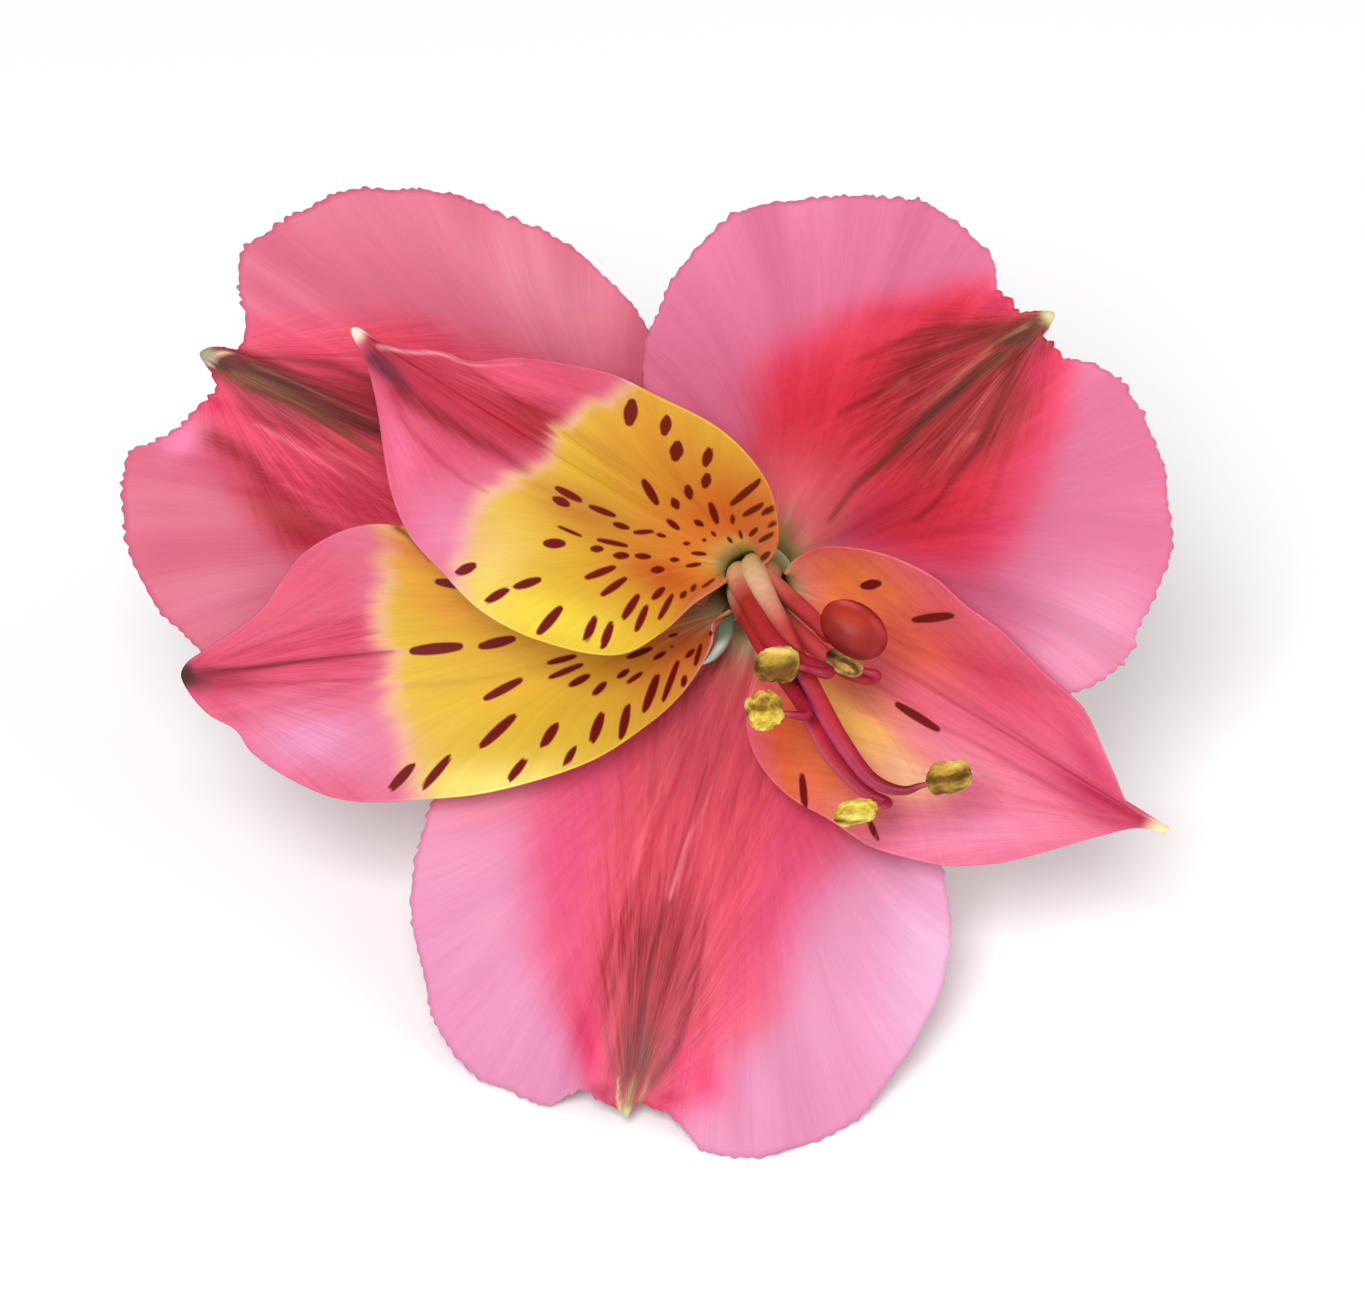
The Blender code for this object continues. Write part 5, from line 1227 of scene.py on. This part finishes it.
filaments = {
    1: {"stops": redSooner, "line": [
        (0.47, -0.36, -31.02), (0.28, -0.45, -25.49), (0.17, -0.66, -19.97), (0.19, -1.08, -14.73),
        (0.48, -1.9, -9.73), (1.09, -3.15, -5.91), (2.6, -5.6, 0.6), (4.4, -7.0, 3.1), (6.6, -7.9, 4.6),
        (6.2, -8.0, 5.5), (4.74, -7.59, 5.3), (3.8, -7.5, 5.2)]},
    2: {"stops": redSooner, "line": [
        (0.48, -1.66, -31.05), (0.29, -1.75, -25.51), (0.18, -1.96, -20.05), (0.21, -2.37, -14.87),
        (0.48, -3.16, -10.04), (1.07, -4.35, -6.4), (1.88, -5.95, -3.26), (4.5, -10.0, 3.1),
        (5.0, -11.1, 4.7), (3.54, -10.99, 5.13), (2.7, -10.95, 5.2)]},
    3: {"stops": coralSooner, "line": [
        (2.73, -1.64, -30.98), (2.54, -1.73, -25.44), (2.43, -1.94, -20.03), (2.46, -2.34, -14.92),
        (2.72, -3.1, -10.27), (5.0, -5.4, -4.2), (8.0, -7.8, -2.3), (9.9, -8.4, -1.0), (10.2, -8.1, 0.3),
        (9.4, -7.86, 0.5), (8.6, -7.6, 0.6)]},
    4: {"stops": coralSooner, "line": [
        (2.72, -0.34, -30.95), (2.53, -0.43, -25.42), (2.42, -0.64, -19.95), (2.44, -1.05, -14.78),
        (4.5, -2.9, -5.8), (5.9, -4.3, -1.6), (6.9, -5.4, 0.8), (7.9, -5.44, 2.09), (8.3, -5.1, 3.0)]},
    5: {"stops": redLater, "rightSide": (206, 74, 124), "line": [
        (1.59, 0.3, -30.98), (1.4, 0.21, -25.44), (1.28, -0.0, -19.92), (1.31, -0.41, -14.69),
        (1.6, -1.24, -9.69), (2.21, -2.48, -5.88), (3.07, -4.2, -2.52), (4.07, -6.26, 0.08),
        (5.19, -8.55, 2.16), (6.31, -10.75, 3.61), (7.48, -12.81, 4.66), (9.9, -15.9, 5.8),
        (12.1, -16.6, 6.2), (13.3, -16.25, 6.4), (14.3, -16.0, 6.4)]},
    6: {"stops": redSooner, "rightSide": (214, 96, 118), "line": [
        (1.61, -2.3, -31.02), (1.42, -2.39, -25.49), (1.32, -2.6, -20.08), (1.34, -3.0, -14.96),
        (1.6, -3.76, -10.31), (2.16, -4.9, -6.85), (2.93, -6.4, -3.88), (3.79, -8.2, -1.63),
        (4.81, -10.25, 0.24), (5.79, -12.2, 1.52), (6.92, -14.19, 2.54), (9.6, -16.9, 3.9),
        (11.0, -17.5, 4.5), (10.56, -17.81, 5.31), (9.6, -18.1, 5.5)]},
}
for number, strand in filaments.items():
    makeStrand(f"filament_{number}", strand)

style = {
    "stops": redSooner[:-2], "profile": [(0, 0.42), (0.9, 0.34), (1, 0.42)],
    "line": [
        (1.6, -1.0, -31.0), (1.41, -1.09, -25.47), (1.3, -1.3, -20.0), (1.33, -1.71, -14.83),
        (1.6, -2.5, -10.0), (2.18, -3.69, -6.36), (3.0, -5.3, -3.2), (3.93, -7.23, -0.77), (5.0, -9.4, 1.2),
    ],
}
makeStrand("style", style)


# Two swollen lobes with a furrow between them, wrinkled where the anther has opened. Its colour goes from
# a shaded tone in the furrow and hollows to a lit tone on the ridges, a painted shade and highlight; its
# washes add its own blotches, and a painted highlight and painted shade on the side that faces the camera.
def makeAnther(number, anther):
    name = f"anther_{number}"
    bpy.ops.object.select_all(action="DESELECT")
    bpy.ops.mesh.primitive_uv_sphere_add(segments=84, ring_count=54, radius=1)
    piece = bpy.context.object
    piece.name = piece.data.name = name
    mesh = piece.data
    ball = meshPoints(mesh)
    length, width, depth = anther["size"]
    way = unit(np.array(anther["points"], float))
    side = unit(np.cross((0.0, 0.0, 1.0), way))
    front = np.cross(way, side)
    aroundIt = np.arctan2(ball[:, 1], ball[:, 0])
    swell = np.sqrt(np.maximum(0, 1 - np.abs(ball[:, 2]) ** anther.get("blunt", 2.4)))
    squash = swell / np.maximum(np.hypot(ball[:, 0], ball[:, 1]), 1e-6)
    sideways, forward, along = ball[:, 0] * squash, ball[:, 1] * squash, ball[:, 2]
    fold = np.exp(-(((aroundIt - math.pi / 2 - anther.get("skew", 0.0)) / 0.26) ** 2))
    rear = np.exp(-((np.abs(aroundIt + math.pi / 2) / 0.4) ** 2))
    shrink = 1 - anther["furrow"] * fold * (1 - 0.5 * along**4) - anther.get("rear", 0.25) * rear
    seeds = np.array(anther["seed"]) * 7.1
    wrinkle = np.array([
        noise.noise(Vector((a * 1.6 + seeds, b * 1.6, c * 1.1 + seeds)))
        + 0.5 * noise.noise(Vector((a * 4.1, b * 4.1 + seeds, c * 3.0)))
        + 0.3 * noise.noise(Vector((a * 9.0, b * 9.0 + seeds, c * 7.0)))
        for a, b, c in ball
    ])
    shrink = shrink + anther["wrinkle"] * wrinkle
    points = (
        np.array(anther["middle"])
        + (along * (1 + 0.3 * anther["wrinkle"] * wrinkle))[:, None] * way * length / 2
        + (sideways * shrink)[:, None] * side * width / 2
        + (forward * shrink)[:, None] * front * depth / 2
    )
    mesh.vertices.foreach_set("co", intoScene(points).ravel())
    mesh.update()
    turnOutwards()
    # Painted shade and highlight: darker in the furrow and hollows, lighter on the ridges
    reliefLight = np.clip(0.5 + 1.1 * wrinkle - 1.4 * fold * anther["furrow"], 0, 1)
    shadedTone, midTone, litTone = [screenColour(*tone) for tone in anther["tones"]]
    colour = np.where(
        (reliefLight < 0.5)[:, None],
        between(shadedTone, midTone, reliefLight * 2),
        between(midTone, litTone, reliefLight * 2 - 1),
    )
    # Washes land on the side that faces the camera: besides the anther's own blotches they paint its highlight
    # and its shade
    facing = smoothStep(-0.7, -0.3, forward)
    painted = washed(colour, asSeen(points), anther["washes"], 0.8 * wrinkle)
    colour = colour + (painted - colour) * facing[:, None]
    finish, slot = (budFinish, "bud_anther") if anther.get("closed") else (pollenFinish, "anther")
    finishPiece(piece, colour, finish)
    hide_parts(name)


# Each anther's tones: shaded, middle and lit
olive = [(92, 58, 16), (158, 124, 40), (222, 192, 84)]
yellow = [(132, 92, 24), (208, 178, 56), (254, 236, 110)]
# Each anther's washes paint a highlight along its lit top and shade on its lower lobe and underside, besides its
# own blotches and opened cavities
anthers = {
    1: {
        "middle": (2.8, -7.4, 5.2), "points": (-1.0, -0.15, 0.0), "size": (3.4, 2.7, 2.2), "seed": 1,
        "furrow": 0.34, "skew": -0.2, "wrinkle": 0.26, "tones": olive,
        "washes": [
            (2.9, -6.35, 1.6, 0.36, -4, (255, 220, 124), 1.2),
            (2.6, -6.95, 1.4, 0.42, -6, (222, 186, 74), 0.9), (3.0, -7.9, 1.7, 0.6, -8, (126, 82, 26), 1.0),
            (4.2, -7.2, 0.45, 0.6, 0, (126, 74, 26), 0.7), (1.35, -7.5, 0.3, 0.6, 0, (92, 30, 14), 0.9),
            (1.9, -8.5, 0.7, 0.3, -10, (96, 34, 14), 0.8)]},
    2: {
        "middle": (1.9, -10.7, 5.3), "points": (-1.0, -0.2, 0.1), "size": (2.8, 2.8, 2.2), "seed": 2,
        "furrow": 0.28, "skew": 0.2, "wrinkle": 0.3, "tones": yellow,
        "washes": [
            (1.8, -11.4, 1.0, 0.45, 0, (248, 220, 84), 0.9), (2.2, -9.5, 1.0, 0.3, 0, (226, 176, 84), 0.7),
            (1.85, -10.3, 0.5, 0.4, 0, (156, 116, 36), 0.7),
            (0.65, -11.1, 0.7, 0.25, 80, (104, 40, 18), 0.85),
            (3.1, -10.4, 0.4, 0.7, 0, (170, 130, 46), 0.6)]},
    3: {
        "middle": (7.9, -7.2, 0.6), "points": (-1.0, 0.5, 0.1), "size": (3.0, 1.7, 1.7), "seed": 3,
        "furrow": 0.3, "skew": 0.0, "wrinkle": 0.2,
        "tones": [(96, 56, 20), (160, 124, 54), (232, 204, 120)],
        "washes": [
            (6.9, -6.6, 0.8, 0.6, 0, (70, 20, 10), 1.1), (8.0, -6.7, 1.1, 0.2, -28, (244, 204, 130), 0.85),
            (8.2, -7.15, 0.7, 0.16, -30, (110, 60, 22), 0.8),
            (7.8, -7.6, 0.8, 0.2, -35, (214, 154, 88), 0.7), (8.9, -7.9, 0.3, 0.3, 0, (112, 46, 18), 0.85),
            (9.2, -7.4, 0.25, 0.5, 0, (246, 188, 116), 0.7)]},
    4: {
        "middle": (8.5, -4.8, 3.8), "points": (0.3, 0.42, 0.86), "size": (3.6, 5.4, 4.0), "seed": 4,
        "furrow": 0.0, "skew": 0.5, "wrinkle": 0.015, "rear": 0.0, "blunt": 2.1, "closed": True,
        "tones": [(140, 20, 16), (150, 25, 20), (160, 32, 26)],
        "washes": [
            (8.4, -3.8, 1.5, 0.8, -25, (204, 56, 30), 0.8),
            (8.2, -2.75, 2.2, 0.3, -16, (232, 104, 92), 0.8),
            (10.2, -4.2, 0.35, 1.4, 35, (214, 80, 70), 0.6),
            (7.1, -5.4, 1.3, 1.1, -40, (138, 20, 16), 0.85), (8.6, -6.6, 1.9, 0.6, -26, (120, 20, 14), 0.8),
        ],
    },
    5: {
        "middle": (15.4, -15.6, 6.4), "points": (0.97, 0.16, 0.0), "size": (3.5, 2.3, 2.0), "seed": 5,
        "furrow": 0.28, "skew": 0.1, "wrinkle": 0.3, "tones": olive,
        "washes": [
            (15.3, -15.0, 1.6, 0.5, 10, (216, 172, 66), 1.0),
            (16.1, -14.6, 0.8, 0.35, 10, (250, 216, 124), 1.1),
            (15.2, -15.75, 1.0, 0.16, 10, (120, 84, 28), 0.5),
            (15.3, -16.3, 1.5, 0.4, 8, (166, 126, 42), 0.6),
            (14.9, -16.9, 1.0, 0.25, 5, (104, 40, 18), 0.85),
            (13.7, -15.4, 0.3, 0.7, 0, (124, 70, 24), 0.7)]},
    6: {
        "middle": (8.6, -18.2, 5.6), "points": (-0.95, -0.2, 0.15), "size": (3.4, 1.7, 1.8), "seed": 6,
        "furrow": 0.16, "skew": 0.4, "wrinkle": 0.28,
        "tones": [(200, 160, 40), (238, 212, 66), (252, 240, 120)],
        "washes": [
            (8.9, -17.7, 1.5, 0.4, 8, (252, 230, 104), 0.8),
            (8.3, -18.3, 0.5, 0.25, 0, (170, 126, 36), 0.7),
            (7.4, -18.95, 1.0, 0.22, -4, (100, 16, 18), 0.95),
            (9.4, -18.4, 0.5, 0.3, 10, (196, 150, 46), 0.6)]},
}
for number, anther in anthers.items():
    makeAnther(number, anther)

print("nectar fold, ovary and stalk")


# A closed skin through rings of points, given in the scene
def makeSkin(name, rings):
    count, sides = len(rings), len(rings[0])
    points = [tuple(point) for ring in rings for point in ring]
    turns = [(side, (side + 1) % sides) for side in range(sides)]
    faces = [
        (row * sides + a, row * sides + b, (row + 1) * sides + b, (row + 1) * sides + a)
        for row in range(count - 1) for a, b in turns
    ]
    for row in (0, count - 1):
        points.append(tuple(np.mean(rings[row], axis=0)))
        faces += [(row * sides + a, row * sides + b, len(points) - 1) for a, b in turns]
    mesh = bpy.data.meshes.new(name)
    mesh.from_pydata(points, [], faces)
    piece = bpy.data.objects.new(name, mesh)
    bpy.context.scene.collection.objects.link(piece)
    selectOnly(piece)
    turnOutwards()
    return piece


# The wet fold where the left inner tepal's claw rolls in: left side, right side, how far it bulges
nectarFold = {
    "green": (112, 138, 116), "sides": 24,
    "stations": [
        ((-0.55, -2.5, -16.6), (0.15, -2.2, -16.6), 0.15),
        ((-0.95, -3.2, -14.4), (-0.1, -2.9, -14.4), 0.25),
        ((-1.35, -4.0, -12.9), (-0.2, -3.6, -13.0), 0.42),
        ((-1.45, -4.8, -11.9), (-0.25, -4.6, -12.1), 0.5), ((-1.6, -5.6, -11.0), (-0.5, -5.6, -11.3), 0.5),
        ((-1.95, -6.4, -10.1), (-1.05, -6.5, -10.4), 0.4), ((-2.35, -7.0, -9.5), (-1.75, -7.1, -9.7), 0.22),
        ((-2.65, -7.35, -9.2), (-2.55, -7.4, -9.25), 0.06)],
    # The two pale washes lower down are a painted highlight on the wet skin; the dark one makes the fold darker
    # towards its top
    "washes": [
        (-0.8, -3.6, 1.2, 1.0, 0, (84, 92, 62), 0.9), (-1.0, -5.2, 1.0, 1.0, 0, (98, 140, 112), 0.7),
        (-1.5, -6.2, 1.0, 0.3, 45, (236, 246, 240), 0.95), (-2.2, -6.9, 0.8, 0.3, 40, (190, 222, 212), 0.8),
    ],
}
foldFinish = fleckedFinish(
    "nectarSkin", 0.16, 0.5, (700, 700, 700), [(0.3, (0.84, 0.88, 0.86)), (0.7, white)], 0.05, 0.04)
rings = []
leftSide, rightSide, heights = zip(*nectarFold["stations"])
lefts, rights = smoothLine(leftSide, curveSteps), smoothLine(rightSide, curveSteps)
bulges = np.interp(np.arange(len(lefts)) / curveSteps, range(len(heights)), heights)
for left, right, bulge in zip(lefts, rights, bulges):
    turn = np.linspace(0, 2 * math.pi, nectarFold["sides"], endpoint=False)[:, None]
    middle, reach = (left + right) / 2, (right - left) / 2
    rings.append(middle - reach * np.cos(turn) + np.array([0, 0, bulge]) * np.sin(turn))
piece = makeSkin("claw_fold", [intoScene(ring) for ring in rings])
seen = asSeen(np.vstack([*rings, rings[0].mean(axis=0), rings[-1].mean(axis=0)]))
colour = np.tile(screenColour(*nectarFold["green"]), (len(seen), 1))
colour = washed(colour, seen, nectarFold["washes"], 0)
finishPiece(piece, colour, foldFinish)

# Six rounded ribs below the tepals, paling to cream on the dome that carries the claws; the cream is
# painted as bright as it goes, partly its own colour and partly painted light in the shaded throat
ovary = {
    "profile": [(0, 3.9), (0.05, 4.05), (0.25, 3.75), (0.5, 3.3), (0.75, 2.5), (0.93, 1.75), (1, 1.5)],
    "length": 8.0, "gap": 0.45, "ribs": 6, "ribHeight": 0.07, "dome": 1.2, "domeRadius": 3.7,
    "furrowGreen": (88, 124, 50), "ribGreen": (176, 196, 116), "cream": (255, 250, 200),
}
rings, tones = [], []
angles = np.linspace(0, 360, 96, endpoint=False)
rib = np.cos(np.radians(angles * ovary["ribs"]))
outlines = [
    (-ovary["dome"] * (1 - share**2) / ovary["length"], ovary["domeRadius"] * share)
    for share in np.linspace(0.03, 0.97, 9)
]
bodyLine = [(share * ovary["length"], radius, 0) for share, radius in ovary["profile"]]
outlines += [(below / ovary["length"], radius) for below, radius, _ in smoothLine(bodyLine, curveSteps)]
for share, radius in outlines:
    sunk = -throatAxis * (ovary["gap"] + share * ovary["length"])
    high = ovary["ribHeight"] * min(1.0, max(0.0, share * 12)) * min(1.0, 3 * (1.05 - share))
    ring = [onRing(angle, radius * (1 + high * lift)) + sunk for angle, lift in zip(angles, rib)]
    rings.append(intoScene(ring))
    green = between(screenColour(*ovary["furrowGreen"]), screenColour(*ovary["ribGreen"]), (rib + 1) / 2)
    cream = np.tile(screenColour(*ovary["cream"]), (len(angles), 1))
    tones.append(between(cream, green, np.full(len(angles), float(smoothStep(-0.05, 0.12, share)))))
piece = makeSkin("ovaryBody", rings)
tones = np.vstack([*tones, tones[0][:1], tones[-1][:1]])
finishPiece(piece, tones, stalkFinish)
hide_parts("ovary")

# The stalk leaves the ovary along its axis, bends down and lies on the surface, to its cut end
stalk = {
    "radius": 1.35, "reach": 32.0, "drift": -7.5, "leaves": 9.0, "lands": 19.0,
    "profile": [(0, 1.5), (0.06, 1.35), (0.2, 1.15), (0.985, 1.35), (1, 1.3)],
}
start = intoScene(np.array(throat["floor"]) - throatAxis * (ovary["gap"] + ovary["length"]))[0]
inwards = unit(intoScene(np.array(throat["floor"]) - throatAxis)[0] - intoScene(throat["floor"])[0])
end = np.array([start[0] + stalk["drift"] * mm, start[1] + stalk["reach"] * mm, stalk["radius"] * mm])
lying = unit(np.array([stalk["drift"], stalk["reach"], 0.0]))
near, far = start + inwards * stalk["leaves"] * mm, end - lying * stalk["lands"] * mm
t = np.linspace(0, 1, 61)[:, None]
line = (1 - t) ** 3 * start + 3 * (1 - t) ** 2 * t * near + 3 * (1 - t) * t**2 * far + t**3 * end
piece = makeTube("stalkBody", line, stalk["profile"], bevel=10)
points = meshPoints(piece.data)
points[:, 2] = np.maximum(points[:, 2], 0)
piece.data.vertices.foreach_set("co", points.ravel())
share, across = placeOnLine(points, line)
stalkStops = [
    (0, (150, 172, 92)), (0.2, (132, 160, 82)), (0.75, (124, 152, 76)), (0.97, (134, 158, 84)),
    (0.99, (190, 200, 140)), (1, (206, 212, 160)),
]
finishPiece(piece, byShare(share, stalkStops), stalkFinish)
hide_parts("stalk")

low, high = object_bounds()
